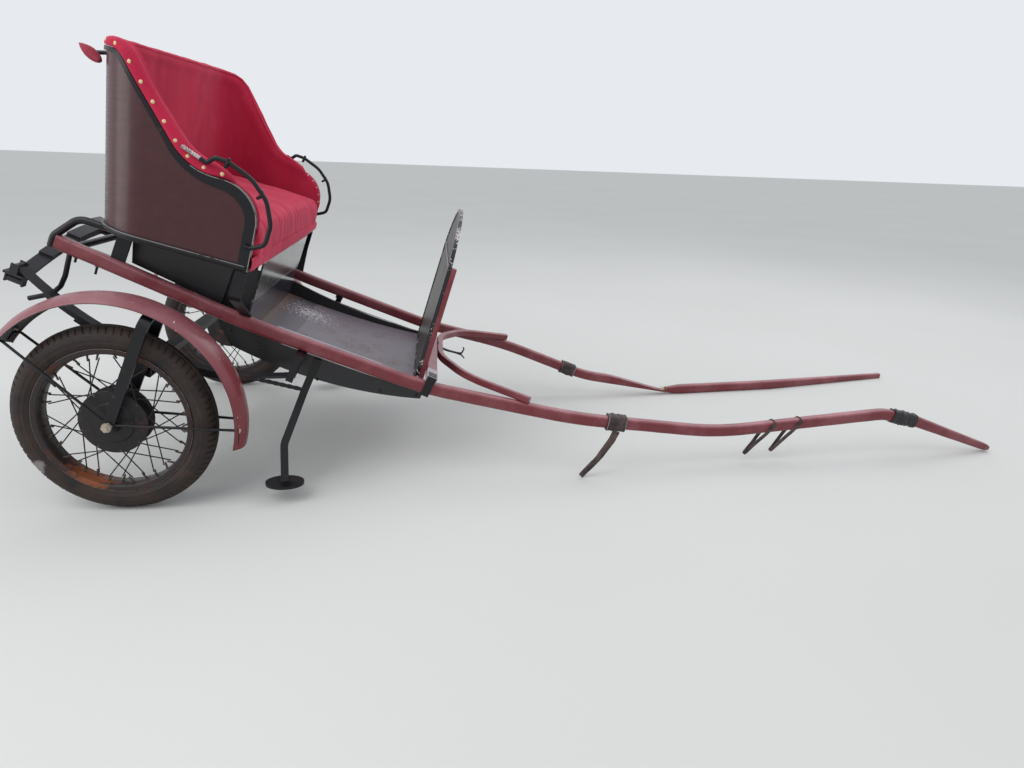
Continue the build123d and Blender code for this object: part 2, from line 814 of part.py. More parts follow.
def side_panel(side):
    """One side of the tray, boat shaped below and raised behind to carry the seat."""
    riser_z = seat_under_z(riser_rear_x) - seat_gap
    front_z = seat_under_z(riser_front_x) - seat_gap
    outline = [
        Line((riser_rear_x, riser_z), (riser_front_x, front_z)),
        Line((riser_front_x, front_z), side_top_points[0]),
        through(side_top_points),
        Line(side_top_points[-1], side_foot_points[0]),
        through(side_foot_points),
        Line(side_foot_points[-1], (riser_knee_x, riser_knee_z)),
        Line((riser_knee_x, riser_knee_z), (riser_foot_x, riser_foot_z)),
        Line((riser_foot_x, riser_foot_z), (riser_rear_x, riser_z)),
    ]
    face = make_face(Plane.XZ * Wire(outline))
    return Pos(0, side * (tray_half_width - side_board / 2), 0) * extrude(face, side_board / 2, both=True)


def tray_inner_half():
    return tray_half_width - side_board - seat_gap


def floor_pan(room=0.0):
    """The sheet-covered floor between the two sides, thickened below by some room."""
    under = [(x, z - floor_board - room) for x, z in floor_points]
    outline = [through(floor_points), Line(floor_points[-1], under[-1]),
               through(under[::-1]), Line(under[0], floor_points[0])]
    return extrude(make_face(Plane.XZ * Wire(outline)), tray_inner_half(), both=True)


def floor_bearers():
    """Three battens under the floor."""
    room = floor_pan(seat_gap)
    battens = []
    for x in bearer_places:
        top = height_on(floor_points, x) - floor_board / 2
        batten = block(x - bearer_width / 2, x + bearer_width / 2, -tray_inner_half(), tray_inner_half(),
                       top - floor_board / 2 - bearer_height, top)
        battens.append((batten - room).solids().sort_by(Axis.Z)[0])
    return Compound(children=battens)


# Seat

def seat_under_z(x):
    """The height of the pitched seat's underside at x along the gig."""
    return seat_base_z + x * tan(radians(seat_pitch))


def pitched(piece):
    """A piece drawn in the seat's own frame, turned back to its place on the gig."""
    return piece.rotate(Axis((0, 0, seat_base_z), (0, 1, 0)), -seat_pitch)


def pitched_point(x, z):
    """A point of the seat's own frame in the gig's frame, as (x, z)."""
    way = radians(seat_pitch)
    rise = z - seat_base_z
    return x * cos(way) - rise * sin(way), seat_base_z + x * sin(way) + rise * cos(way)


def side_outline(rise):
    """The seat's side view, grown outward by rise: high back, slope, arm and front edge."""
    slope = atan2(seat_back_z - seat_arm_z, seat_slope_foot_x - seat_slope_top_x)
    shift = rise * tan(slope / 2)
    rear_x = 2 * seat_rear_x
    front = seat_front_x + rise
    corners = [
        (rear_x, seat_base_z), (rear_x, seat_back_z + rise),
        (seat_slope_top_x + shift, seat_back_z + rise),
        (seat_slope_foot_x + shift, seat_arm_z + rise),
        (front, seat_arm_z + rise), (front, seat_base_z),
    ]
    face = make_face(Plane.XZ * Polyline(*corners, close=True))
    rounds = ((corners[2], seat_back_bend + rise), (corners[3], seat_arm_bend - rise),
              (corners[4], seat_front_bend + rise))
    for (x, z), radius in rounds:
        vertex = min(face.vertices(), key=lambda v: hypot(v.X - x, v.Z - z))
        face = fillet(vertex, radius)
    return face


def side_prism(rise):
    return extrude(side_outline(rise), 2 * seat_half_width, both=True)


def tub(inset, z0, z1):
    """A closed block with the seat's plan, set in by inset, its back leaning as it rises."""
    half = seat_half_width - inset
    lean = radians(seat_back_lean)
    rear = seat_rear_x + inset - (z0 - seat_base_z) * tan(lean)
    front = 2 * seat_front_x
    plan = Pos((front + rear) / 2, 0, z0) * Rectangle(front - rear, 2 * half)
    plan = fillet(plan.vertices().group_by(Axis.X)[0], seat_corner - inset)
    way = Vector(-sin(lean), 0, cos(lean))
    return extrude(plan, (z1 - z0) / cos(lean), dir=way)


def tub_wall(outer, inner, z0):
    """The wall between two insets, from z0 to above the back."""
    top = seat_back_z + seat_half_width / 2
    return tub(outer, z0, top) - tub(inner, z0, top)


def seat_shell():
    """The bent plywood tub."""
    return pitched(tub_wall(0, seat_wall, seat_base_z) & side_prism(0))


def seat_edge_iron():
    """The iron edging along the arms, the slopes and the back."""
    skin = tub_wall(-edge_iron_thickness - seat_gap, -seat_gap, seat_base_z)
    band = side_prism(0) - side_prism(-edge_iron_width)
    return pitched(skin & band)


def seat_inner_board(z, thickness):
    """A board that fills the tub's plan at a height."""
    board = tub(seat_wall + seat_gap, z, z + thickness)
    return pitched(board & side_prism(0))


def soft_base_z():
    return seat_board_z + seat_board_thickness + soft_gap


def seat_lining():
    """The padded lining round the inside, standing above the iron."""
    outer = seat_wall + soft_gap
    wall = tub_wall(outer, outer + lining_thickness, soft_base_z())
    return pitched(wall & side_prism(lining_rise))


def seat_cushion():
    """The seat cushion, as a plain block with rounded front."""
    z0 = soft_base_z()
    inset = seat_wall + soft_gap + lining_thickness + cushion_side_gap
    front = seat_front_x + cushion_nose
    keep = block(2 * seat_rear_x, front, -seat_half_width, seat_half_width, z0, z0 + cushion_height)
    cushion = tub(inset, z0, z0 + cushion_height) & keep
    edge = cushion.edges().filter_by(Axis.Y).group_by(Axis.Z)[-1].sort_by(Axis.X)[-1]
    return pitched(fillet([edge], cushion_nose_bend))


def heel_board():
    """The clear sheet from the floor up to the seat's front edge."""
    foot_z = height_on(floor_points, heel_foot_x) + 2 * seat_gap
    knee_x, knee_z = pitched_point(seat_front_x + seat_gap, seat_base_z)
    head_x, head_z = pitched_point(seat_front_x + seat_gap, seat_board_z + seat_board_thickness)
    corners = [(heel_foot_x, foot_z), (heel_foot_x + heel_board_thickness, foot_z + seat_gap),
               (knee_x + heel_board_thickness, knee_z), (head_x + heel_board_thickness, head_z),
               (head_x, head_z), (knee_x, knee_z)]
    return extrude(make_face(Plane.XZ * Polyline(*corners, close=True)), tray_inner_half(), both=True)


def rear_hoop(side, shaft_piece):
    """The tube that rises from a shaft's rear end and runs forward under the seat."""
    end_x, end_y, end_z, _ = shaft_stations[0]
    drop = tube_diameter / 2 + seat_gap
    rear_x = end_x - drop
    under = drop / cos(radians(seat_pitch))
    points = [(rear_x, side * end_y, end_z - shaft_height / 2),
              (rear_x, side * end_y, end_z + hoop_rise),
              (hoop_crown_x, side * hoop_y, seat_under_z(hoop_crown_x) - under),
              (hoop_end_x, side * hoop_y, seat_under_z(hoop_end_x) - under)]
    path = FilletPolyline(*points, radius=[hoop_bend, hoop_crown_bend])
    return swept(Circle(tube_diameter / 2), path, (0, 1, 0)) - shaft_piece


def rear_crossbar():
    """The tube between the shafts' rear ends, with the seat of the cross spring."""
    x = shaft_stations[0][0] + crossbar_inset
    z = shaft_stations[0][2]
    half = shaft_stations[0][1] - shaft_width / 2 - seat_gap
    tube = rod((x, -half, z), (x, half, z), tube_diameter)
    top = cross_spring_top_z() + seat_gap
    sag = spring_width ** 2 / (2 * arch_radius(spring_y, cross_spring_camber))
    bottom = cross_spring_eye_z() + cross_spring_camber - leaf_thickness - sag - seat_gap
    holder = clamp(bottom, top, spring_width / 2).rotate(Axis.Z, 90)
    arm = block(cross_spring_x, x, -spring_width / 2, spring_width / 2, top, top + clamp_plate)
    return tube + Pos(cross_spring_x, 0, 0) * holder + arm


def seat_struts(shafts, hoops):
    """Flat posts from the shafts up to the seat's underside."""
    half = strut_width / 2
    posts = []
    for side in (-1, 1):
        _, point = shaft_top(side, strut_x)
        y = point.Y - side * strut_thickness / 2
        head = seat_under_z(strut_x - half) - seat_gap
        post = block(strut_x - half, strut_x + half, y - strut_thickness / 2, y + strut_thickness / 2,
                     point.Z, head)
        posts.append(biggest(post - shafts[side] - hoops[side]))
    return Compound(children=posts)


def seat_legs(shafts):
    """Flat irons from the seat's front corners down and in to the shafts."""
    legs = []
    head_x, _ = pitched_point(seat_front_x - leg_width / 2, seat_base_z)
    head_z = seat_under_z(head_x - leg_width / 2) - seat_gap
    for side in (-1, 1):
        outer = seat_half_width - leg_thickness / 2
        top, point = shaft_top(side, heel_foot_x)
        path = FilletPolyline((head_x, side * outer, head_z),
                              (head_x + leg_step, side * outer, head_z - leg_drop),
                              (heel_foot_x, point.Y, top), radius=leg_bend)
        leg = swept(flat_section(leg_width, leg_thickness), path, (1, 0, 0))
        legs.append(biggest(leg - shafts[side]))
    return Compound(children=legs)


def rear_irons(shafts):
    """A round iron under each shaft's rear end, hooked back beside the springs."""
    irons = []
    for side in (-1, 1):
        y = side * shaft_stations[0][1]
        points = [(x, y, z) for x, z, _ in rear_iron_stations]
        radii = [radius for _, _, radius in rear_iron_stations[1:-1]]
        iron = swept(Circle(rear_iron_diameter / 2), FilletPolyline(*points, radius=radii), (0, 1, 0))
        irons.append(biggest(iron - shafts[side]))
    return Compound(children=irons)


def arm_rail(side):
    """The round iron rail that loops over the front of an arm."""
    y = side * (seat_half_width + seat_gap + edge_iron_thickness + seat_gap + rail_diameter / 2)
    points = [(x, y, z) for x, z, _ in rail_stations]
    radii = [radius for _, _, radius in rail_stations[1:-1]]
    return swept(Circle(rail_diameter / 2), FilletPolyline(*points, radius=radii), (0, 1, 0))


def grip_place(side):
    """The middle of a grip, behind and just below the back's top edge."""
    edge_x = seat_rear_x - (seat_back_z - seat_base_z) * tan(radians(seat_back_lean))
    x, z = pitched_point(edge_x - grip_behind, seat_back_z - grip_below)
    return x, side * (seat_half_width - grip_inset), z


def back_grip(side):
    """A padded spindle behind a top corner of the back."""
    half = grip_length / 2
    end = grip_diameter / 2 * grip_end_share
    outline = [ThreePointArc((-half, end), (0, grip_diameter / 2), (half, end)),
               Line((half, end), (half, 0)), Line((half, 0), (-half, 0)), Line((-half, 0), (-half, end))]
    spindle = revolve(make_face(Plane.XZ * Wire(outline)), Axis.X, 360)
    return Pos(*grip_place(side)) * Rot(0, grip_droop, -side * grip_yaw) * spindle


def grip_irons(grips, seat_parts):
    """The round irons that carry the grips from the outside of the back."""
    irons = []
    for side in (-1, 1):
        x, y, z = grip_place(side)
        iron = rod((x, y, z), (x + grip_iron_reach, y, z + grip_iron_rise), grip_iron_diameter)
        iron = iron - grips[side]
        for part in seat_parts:
            iron = iron - part
        irons.append(iron.solids().sort_by(Axis.X)[0])
    return Compound(children=irons)


# Dashboard

def dash_plane():
    """The dashboard's own plane: its X to the left, its Y up the panel, its Z forward."""
    way = radians(dash_lean)
    foot_z = height_on(floor_points, dash_foot_x) + seat_gap + dash_iron * sin(way)
    return Plane(origin=(dash_foot_x, 0, foot_z), x_dir=(0, 1, 0), z_dir=(cos(way), 0, sin(way)))


def dash_outline(inset):
    """The dashboard's outline: nearly square below, arched above the posts."""
    base = tray_inner_half() - inset
    top = dash_top_half_width - inset
    crown = dash_post_height + dash_arch_rise - inset
    return [Line((base, inset), (top, dash_post_height)),
            ThreePointArc((top, dash_post_height), (0, crown), (-top, dash_post_height)),
            Line((-top, dash_post_height), (-base, inset)), Line((-base, inset), (base, inset))]


def dash_panel():
    """The thin panel inside the iron frame."""
    face = make_face(Wire(dash_outline(dash_iron + seat_gap)))
    rail = Pos(0, dash_post_height) * Rectangle(3 * dash_top_half_width, dash_rail_width + 2 * seat_gap)
    panel = extrude(face - rail, dash_sheet / 2, both=True)
    return dash_plane() * panel


def dash_frame():
    """The iron frame round the panel, with a rail across it at the posts' tops."""
    outer = make_face(Wire(dash_outline(0)))
    inner = make_face(Wire(dash_outline(dash_iron)))
    rail = Pos(0, dash_post_height) * Rectangle(2 * dash_top_half_width - dash_iron, dash_rail_width)
    return dash_plane() * extrude(outer - inner + rail, dash_iron / 2, both=True)


def dash_posts():
    """A wooden post up the front of each edge of the dashboard."""
    face = dash_iron / 2 + seat_gap
    base, top = tray_inner_half(), dash_top_half_width
    posts = []
    for side in (-1, 1):
        corners = [(side * base, 0), (side * top, dash_post_height),
                   (side * (top - dash_post_width), dash_post_height), (side * (base - dash_post_width), 0)]
        post = extrude(make_face(Polyline(*corners, close=True)), dash_post_depth)
        posts.append(dash_plane() * Pos(0, 0, face) * post)
    return Compound(children=posts)


# Steps

def step(side):
    """A step: a flat iron that hangs from the tray and an oval pad."""
    top_y = tray_half_width + step_bar_thickness / 2 + seat_gap
    points = [(x, side * (y or top_y), z) for x, y, z in step_stations]
    path = FilletPolyline(*points, radius=step_bend)
    arm = swept(flat_section(step_bar_width, step_bar_thickness), path, (1, 0, 0))
    pad = extrude(Ellipse(step_pad_length / 2, step_pad_width / 2), step_pad_thickness / 2, both=True)
    x, _, z = points[-1]
    return arm + Pos(x, points[-1][1], z) * Rot(0, step_pad_tilt, 0) * pad


def step_stays(steps, beam):
    """A square iron a side from the step's arm back to the axle beam."""
    stays = []
    x = step_stations[0][0]
    y = tray_half_width + step_bar_thickness / 2 + seat_gap
    for side in (-1, 1):
        start = Vector(x, side * y, step_stay_height)
        end = Vector(0, side * y, beam_z)
        way = (end - start).normalized()
        bar = section_at(start, way, flat_section(stay_iron, stay_iron))
        stay = extrude(bar, (end - start).length, dir=way) - beam
        pieces = (stay - steps[side]).solids()
        stays.append(pieces.sort_by(SortBy.VOLUME)[-1])
    return Compound(children=stays)


# Assembly

def park_tilt():
    """How far the gig tips forward until its sound shaft tip stands on the floor."""
    tip_x, _, tip_z = shaft_tip_stations[1]
    rise = tip_z - axle_z
    drop = axle_z - shaft_tip_height / 2
    return degrees(atan2(rise, tip_x) + asin(drop / hypot(tip_x, rise)))


def level_pieces():
    """Every piece in the driving attitude, by name."""
    right, left = -1, 1
    shaft_right = shaft(right)
    shaft_left, stub_end = broken_shaft(left)
    shafts = {right: shaft_right, left: shaft_left}
    bar = splinter_bar()
    hoop = bow(bar, shafts)
    grips = {right: back_grip(right), left: back_grip(left)}
    hoops = {right: rear_hoop(right, shaft_right), left: rear_hoop(left, shaft_left)}
    shell, iron, lining = seat_shell(), seat_edge_iron(), seat_lining()
    beam = axle_beam()
    steps = {right: step(right), left: step(left)}
    pieces = {
        "shaft_right": shaft_right,
        "shaft_left": shaft_left,
        "splinter_bar": bar,
        "splinter_straps": splinter_straps(bar, shafts),
        "bow": hoop,
        "trace_hook": trace_hook(bar, hoop),
        "tug_stops": tug_stops(shafts),
        "shaft_loops": shaft_loops(shafts),
        "shaft_wrap": leather_collar(shaft_line(shaft_stations, right, shaft_tip_stations[0]),
                                     wrap_span, wrap_leather) - shaft_right,
        "grip_irons": grip_irons(grips, (shell, iron, lining)),
        "side_panel_right": side_panel(right),
        "side_panel_left": side_panel(left),
        "floor_pan": floor_pan(),
        "floor_bearers": floor_bearers(),
        "seat_shell": shell,
        "seat_edge_iron": iron,
        "seat_base_board": seat_inner_board(seat_base_z, base_board - seat_gap),
        "seat_board": seat_inner_board(seat_board_z, seat_board_thickness),
        "seat_lining": lining,
        "seat_cushion": seat_cushion(),
        "heel_board": heel_board(),
        "seat_struts": seat_struts(shafts, hoops),
        "seat_legs": seat_legs(shafts),
        "rear_crossbar": rear_crossbar(),
        "rear_irons": rear_irons(shafts),
        "cross_spring": cross_spring(),
        "spring_shackles": spring_shackles(),
        "axle_beam": beam,
        "step_stays": step_stays(steps, beam),
        "dash_panel": dash_panel(),
        "dash_frame": dash_frame(),
        "dash_posts": dash_posts(),
    }
    for name, side in (("right", right), ("left", left)):
        centre = side * half_track
        guard = fender(side)
        fork = wheel_fork(side)
        pieces["tyre_" + name] = tyre(centre)
        pieces["rim_" + name] = rim(centre)
        pieces["hub_" + name] = hub(centre)
        pieces["axle_pin_" + name] = axle_pin(side)
        pieces["wheel_fork_" + name] = fork
        pieces["fender_" + name] = guard
        pieces["fender_stays_" + name] = fender_stays(side, guard, fork)
        pieces["side_spring_" + name] = side_spring(side)
        pieces["spring_hanger_" + name] = spring_hanger(side, shafts[side])
        pieces["rear_hoop_" + name] = hoops[side]
        pieces["arm_rail_" + name] = arm_rail(side)
        pieces["back_grip_" + name] = grips[side]
        pieces["step_" + name] = steps[side]
    return pieces, stub_end


def broken_end(stub_end):
    """The snapped-off front of the left shaft: from the break it lies outwards on the floor."""
    turns = [radians(angle) for angle in broken_piece_angles]
    rear = Vector(stub_end.X - broken_piece_tuck, stub_end.Y, shaft_height / 2)
    middle = rear + Vector(cos(turns[0]), sin(turns[0]), 0) * broken_piece_length
    front = middle + Vector(cos(turns[1]), sin(turns[1]), 0) * broken_tip_length
    front = Vector(front.X, front.Y, broken_tip_height / 2)
    ways = [(middle - rear).normalized(), (front - rear).normalized(), (front - middle).normalized()]
    chip = rear + ways[0] * broken_chip_length
    sizes = ((rear, ways[0], broken_chip_share), (chip, ways[0], 1.0), (middle, ways[1], 1.0))
    sections = []
    for point, way, share in sizes:
        section = flat_section(shaft_width * share, shaft_height * share, shaft_corner * share)
        sections.append(section_at(point, way, section))
    tip_corner = shaft_corner * broken_tip_width / shaft_width
    sections.append(section_at(front, ways[2], flat_section(broken_tip_width, broken_tip_height, tip_corner)))
    return loft(sections, ruled=True)


os.makedirs("parts", exist_ok=True)
tilt = park_tilt()
pivot = Axis((0, 0, axle_z), (0, 1, 0))
pieces, stub_end = level_pieces()
parked = {name: piece.rotate(pivot, tilt) for name, piece in pieces.items()}
stub_point = Vertex(stub_end).rotate(pivot, tilt).center()
parked["shaft_left_broken_end"] = broken_end(stub_point) - parked["shaft_left"]

boxes = [piece.bounding_box() for piece in parked.values()]
low = Vector(*[min(getattr(b.min, axis) for b in boxes) for axis in "XYZ"])
high = Vector(*[max(getattr(b.max, axis) for b in boxes) for axis in "XYZ"])
shift = Vector(-(low.X + high.X) / 2, -(low.Y + high.Y) / 2, -low.Z)
for name, piece in parked.items():
    export_step(piece.translate(shift), "parts/" + name + ".step")

print("park tilt", round(tilt, 3), "axle", round(shift.X, 3), round(shift.Y, 3), round(axle_z + shift.Z, 3))
print("length", round(high.X - low.X, 2), "width", round(high.Y - low.Y, 2), "height", round(high.Z - low.Z, 2))
print("lowest", round(low.Z, 3), "stub end", [round(v, 1) for v in stub_point])
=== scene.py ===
# %% [markdown]
# # A parked gig
# This script dresses a light two-wheeled horse gig in Blender. The metal, wood and rubber shapes
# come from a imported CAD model, the frame, which is loaded here and never moved. Each cell adds a
# finish or a piece and prints what it made, so that it can be read like a lesson.

# %% Load the frame
import bpy
import bmesh
import math
from mathutils import Matrix, Vector, noise


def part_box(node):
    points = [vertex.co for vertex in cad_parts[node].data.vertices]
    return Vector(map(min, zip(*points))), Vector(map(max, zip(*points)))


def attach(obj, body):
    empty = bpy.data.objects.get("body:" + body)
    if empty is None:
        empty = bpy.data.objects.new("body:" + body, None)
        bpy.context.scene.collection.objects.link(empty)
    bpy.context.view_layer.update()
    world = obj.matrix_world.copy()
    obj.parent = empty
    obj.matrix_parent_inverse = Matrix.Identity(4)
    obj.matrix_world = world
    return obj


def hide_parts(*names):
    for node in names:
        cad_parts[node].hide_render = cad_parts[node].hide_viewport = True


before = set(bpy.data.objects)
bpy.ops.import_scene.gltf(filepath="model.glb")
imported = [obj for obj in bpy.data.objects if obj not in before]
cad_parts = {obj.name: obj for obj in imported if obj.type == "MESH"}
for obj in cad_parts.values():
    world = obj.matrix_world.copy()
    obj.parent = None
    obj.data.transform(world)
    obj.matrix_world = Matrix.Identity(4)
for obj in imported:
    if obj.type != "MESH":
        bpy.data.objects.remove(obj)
noise.seed_set(1)  # noise vectors are otherwise seeded from the clock
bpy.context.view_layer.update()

# %% [markdown]
# The gig is stored as it parks: tipped nose down by 24 degrees about its axle. Its makers
# would measure it with the shafts level, x forward from the axle, y to the left and z up from the
# road, in millimetres. One small function turns such a place into the frame's metres, so every
# number below is a size that a workshop would know.

# %% Places on the gig
TILT = math.radians(24.06774)
RIGHT, LEFT = -1, 1
SIDES = ((RIGHT, "right"), (LEFT, "left"))
hub_boxes = [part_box("hub_right"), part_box("hub_left")]
AXLE = sum((low + high for low, high in hub_boxes), Vector()) / 4
AXLE_MM = 315.0  # the axle's height over the road
HALF_TRACK = 639.0
PARKED = Matrix.Rotation(TILT, 4, "Y")
SHAFT_Y, PANEL_Y = 470, 422
ACROSS = Vector((0, 1, 0))


def place(p):
    """A point of the level gig, in millimetres, as a point of the parked one in metres."""
    return AXLE + PARKED @ Vector((p[0], p[1], p[2] - AXLE_MM)) / 1000


print("axle", [round(v, 4) for v in AXLE])

# %% [markdown]
# The photograph has the view of a telephone's main lens, about 74 degrees across. By the lines of
# the wheels and shafts the camera stood 2.8 m beside the axle, 1 m ahead of it and 1.17 m up,
# turned 6.6 degrees towards the shafts, tipped down by 18.6 degrees and leaning by 2.2 degrees.

# %% Camera
CAMERA_FROM_AXLE = Vector((1.0269, -2.8010, 0.0))
CAMERA_HEIGHT = 1.1699
TURN, PITCH, ROLL = (math.radians(a) for a in (6.626, 18.643, 2.204))

camera_data = bpy.data.cameras.new("camera")
camera_data.sensor_width = 36.0
camera_data.lens = 680 / 1024 * 36
camera_data.clip_end = 200
camera = bpy.data.objects.new("camera", camera_data)
ahead = Vector((math.sin(TURN) * math.cos(PITCH), math.cos(TURN) * math.cos(PITCH), -math.sin(PITCH)))
across = Vector((math.cos(TURN), -math.sin(TURN), 0))
above = across.cross(ahead)
right = across * math.cos(ROLL) + above * math.sin(ROLL)
up = above * math.cos(ROLL) - across * math.sin(ROLL)
camera.matrix_world = Matrix((
    (right.x, up.x, -ahead.x, AXLE.x + CAMERA_FROM_AXLE.x),
    (right.y, up.y, -ahead.y, AXLE.y + CAMERA_FROM_AXLE.y),
    (right.z, up.z, -ahead.z, CAMERA_HEIGHT),
    (0, 0, 0, 1)))
bpy.context.scene.collection.objects.link(camera)
bpy.context.scene.camera = camera
print("camera lens", round(camera_data.lens, 2), "mm")

# %% [markdown]
# Colours are written as the hex values a painter would pick from the photograph. Blender works
# with linear light, so one function converts them. A second one adds a shader node with its
# settings and links, which keeps every material below short.

# %% Colours and nodes
def colour(code):
    """An sRGB hex colour as linear RGBA."""
    parts = [int(code[i:i + 2], 16) / 255 for i in (1, 3, 5)]
    return tuple(c / 12.92 if c <= 0.04045 else ((c + 0.055) / 1.055) ** 2.4 for c in parts) + (1.0,)


def fill(node, inputs):
    """Sets a node's sockets: a hex colour or number as its value, a socket or another node as a link."""
    for name, value in inputs.items():
        if isinstance(value, bpy.types.Node):
            value = next(socket for socket in value.outputs if socket.enabled)
        if isinstance(value, bpy.types.NodeSocket):
            node.id_data.links.new(value, node.inputs[name])
        else:
            node.inputs[name].default_value = colour(value) if isinstance(value, str) else value
    return node


def add(tree, kind, inputs={}, **settings):
    """A shader node: settings are its own values, inputs go to its sockets. Every mix here is of colours."""
    node = tree.nodes.new("ShaderNode" + kind)
    if kind == "Mix":
        node.data_type = "RGBA"
    for name, value in settings.items():
        setattr(node, name, value)
    return fill(node, inputs)


def material(name, **constants):
    """A new material, its node tree, its shader with the named sockets set, and the object's coordinates."""
    made = bpy.data.materials.new(name)
    made.use_nodes = True
    shader = made.node_tree.nodes["Principled BSDF"]
    fill(shader, {socket.replace("_", " "): value for socket, value in constants.items()})
    return made, made.node_tree, shader, add(made.node_tree, "TexCoord").outputs["Object"]


def clothe(finish, *names):
    """Gives CAD nodes or pieces their finish."""
    for name in names:
        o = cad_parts.get(name) or bpy.data.objects[name]
        o.data.materials.clear()
        o.data.materials.append(finish)
        for polygon in o.data.polygons:
            polygon.material_index = 0


def both(*stems):
    """The names of a piece's right and left copies."""
    return [stem + side for stem in stems for side in ("_right", "_left")]


# %% [markdown]
# Old coach paint on wood is rarely one colour. The upper faces of the shafts are pinker and paler
# than the sides: partly paint bleached by the sun and dust, partly a painted highlight of the light
# from above. The paint has worn through in flecks drawn out along the grain, to dark primer and grey
# wood. The grain itself shows through the thin coat, with lines about 1.5 mm wide and 40 mm long, so its
# noise is stretched 26 times along x.

# %% Oxide paint on ash
def painted_wood(name, fresh, faded, bare, bleach_and_highlight, worn, gloss):
    made, tree, shader, spot = material(name, IOR=1.5, Coat_Weight=0.15, Coat_Roughness=0.25)
    face = add(tree, "NewGeometry").outputs["Normal"]
    height = add(tree, "SeparateXYZ", {"Vector": face}).outputs["Z"]
    patches = add(tree, "TexNoise", {"Vector": spot, "Scale": 6.0, "Detail": 6.0, "Roughness": 0.65})
    level = add(tree, "Mapping", {"Vector": spot, "Rotation": (0, -TILT, 0), "Scale": (26, 650, 650)})
    grain = add(tree, "TexNoise", {"Vector": level, "Scale": 1.0, "Detail": 2.0})
    flecks = add(tree, "Mapping", {"Vector": spot, "Rotation": (0, -TILT, 0), "Scale": (22, 130, 130)})
    chips = add(tree, "TexNoise", {"Vector": flecks, "Scale": 1.0, "Detail": 5.0, "Roughness": 0.6})
    # Faces turned up go towards the paler colour: partly sun bleach and dust, partly painted highlight.
    up_facing = add(tree, "MapRange", {"Value": height, "From Min": 0.2, "From Max": 0.95})
    uneven = add(tree, "MapRange", {"Value": patches, "From Min": 0.3, "From Max": 0.7, "To Min": 0.35})
    sunned_and_highlit = add(tree, "Math", {0: up_facing, 1: uneven}, operation="MULTIPLY")
    blotch = add(tree, "MapRange", {"Value": patches, "From Min": 0.45, "From Max": 0.8, "To Max": 0.35})
    most = add(tree, "Math", {0: sunned_and_highlit, 1: bleach_and_highlight, 2: blotch}, operation="MULTIPLY_ADD")
    fade_and_highlight = add(tree, "Mix", {"Factor": most, 6: fresh, 7: faded})
    edge = add(tree, "MapRange", {"Value": chips, "From Min": 0.71 - worn, "From Max": 0.74 - worn})
    paint = add(tree, "Mix", {"Factor": edge, 6: fade_and_highlight, 7: bare})
    rough = add(tree, "MapRange", {"Value": patches, "From Min": 0.3, "From Max": 0.7, "To Min": gloss,
                                   "To Max": gloss + 0.2})
    relief = add(tree, "Bump", {"Height": grain, "Strength": 0.16, "Distance": 0.0008})
    dents = add(tree, "Bump", {"Height": edge, "Strength": 0.4, "Distance": 0.0006, "Normal": relief},
                invert=True)
    fill(shader, {"Base Color": paint, "Roughness": rough, "Normal": dents})
    return made


oxide_paint = painted_wood("worn oxide paint on ash", "#6C1F28", "#B98088", "#3A2624", 0.62, 0.05, 0.3)
black_paint = painted_wood("black coach paint on deal", "#0A0A0E", "#24222A", "#4A4246", 0.25, 0.02, 0.32)
clothe(oxide_paint, "splinter_bar", "bow", "dash_posts")
clothe(black_paint, "floor_bearers", "seat_board", *both("side_panel"))
print("painted woods", oxide_paint.name, black_paint.name)

# %% [markdown]
# The tub is bent plywood with many coats of maroon varnish, rubbed down between them: deep,
# glossy and brown rather than red. A clear coat gives long soft reflections from above. Fine
# wipe marks and a faint mottle of 30 mm keep it from looking like plastic.

# %% Coach varnish on the tub
def coach_varnish(name, deep, light, mottle):
    made, tree, shader, spot = material(name, IOR=1.5, Specular_IOR_Level=0.3, Coat_Weight=0.35,
                                        Coat_Roughness=0.2)
    cloud = add(tree, "TexNoise", {"Vector": spot, "Scale": mottle, "Detail": 5.0, "Roughness": 0.6})
    tint = add(tree, "Mix", {"Factor": cloud, 6: deep, 7: light})
    wipes = add(tree, "Mapping", {"Vector": spot, "Scale": (12, 12, 240)})
    wiped = add(tree, "TexNoise", {"Vector": wipes, "Scale": 1.0, "Detail": 4.0})
    rough = add(tree, "MapRange", {"Value": wiped, "From Min": 0.35, "From Max": 0.7, "To Min": 0.3,
                                   "To Max": 0.5})
    skin_relief = add(tree, "Bump", {"Height": cloud, "Strength": 0.08, "Distance": 0.002})
    fill(shader, {"Base Color": tint, "Roughness": rough, "Normal": skin_relief})
    return made


tub_varnish = coach_varnish("maroon varnish on plywood", "#331315", "#4A2126", 30.0)
clothe(tub_varnish, "seat_shell", "seat_base_board")
print("tub", tub_varnish.name)
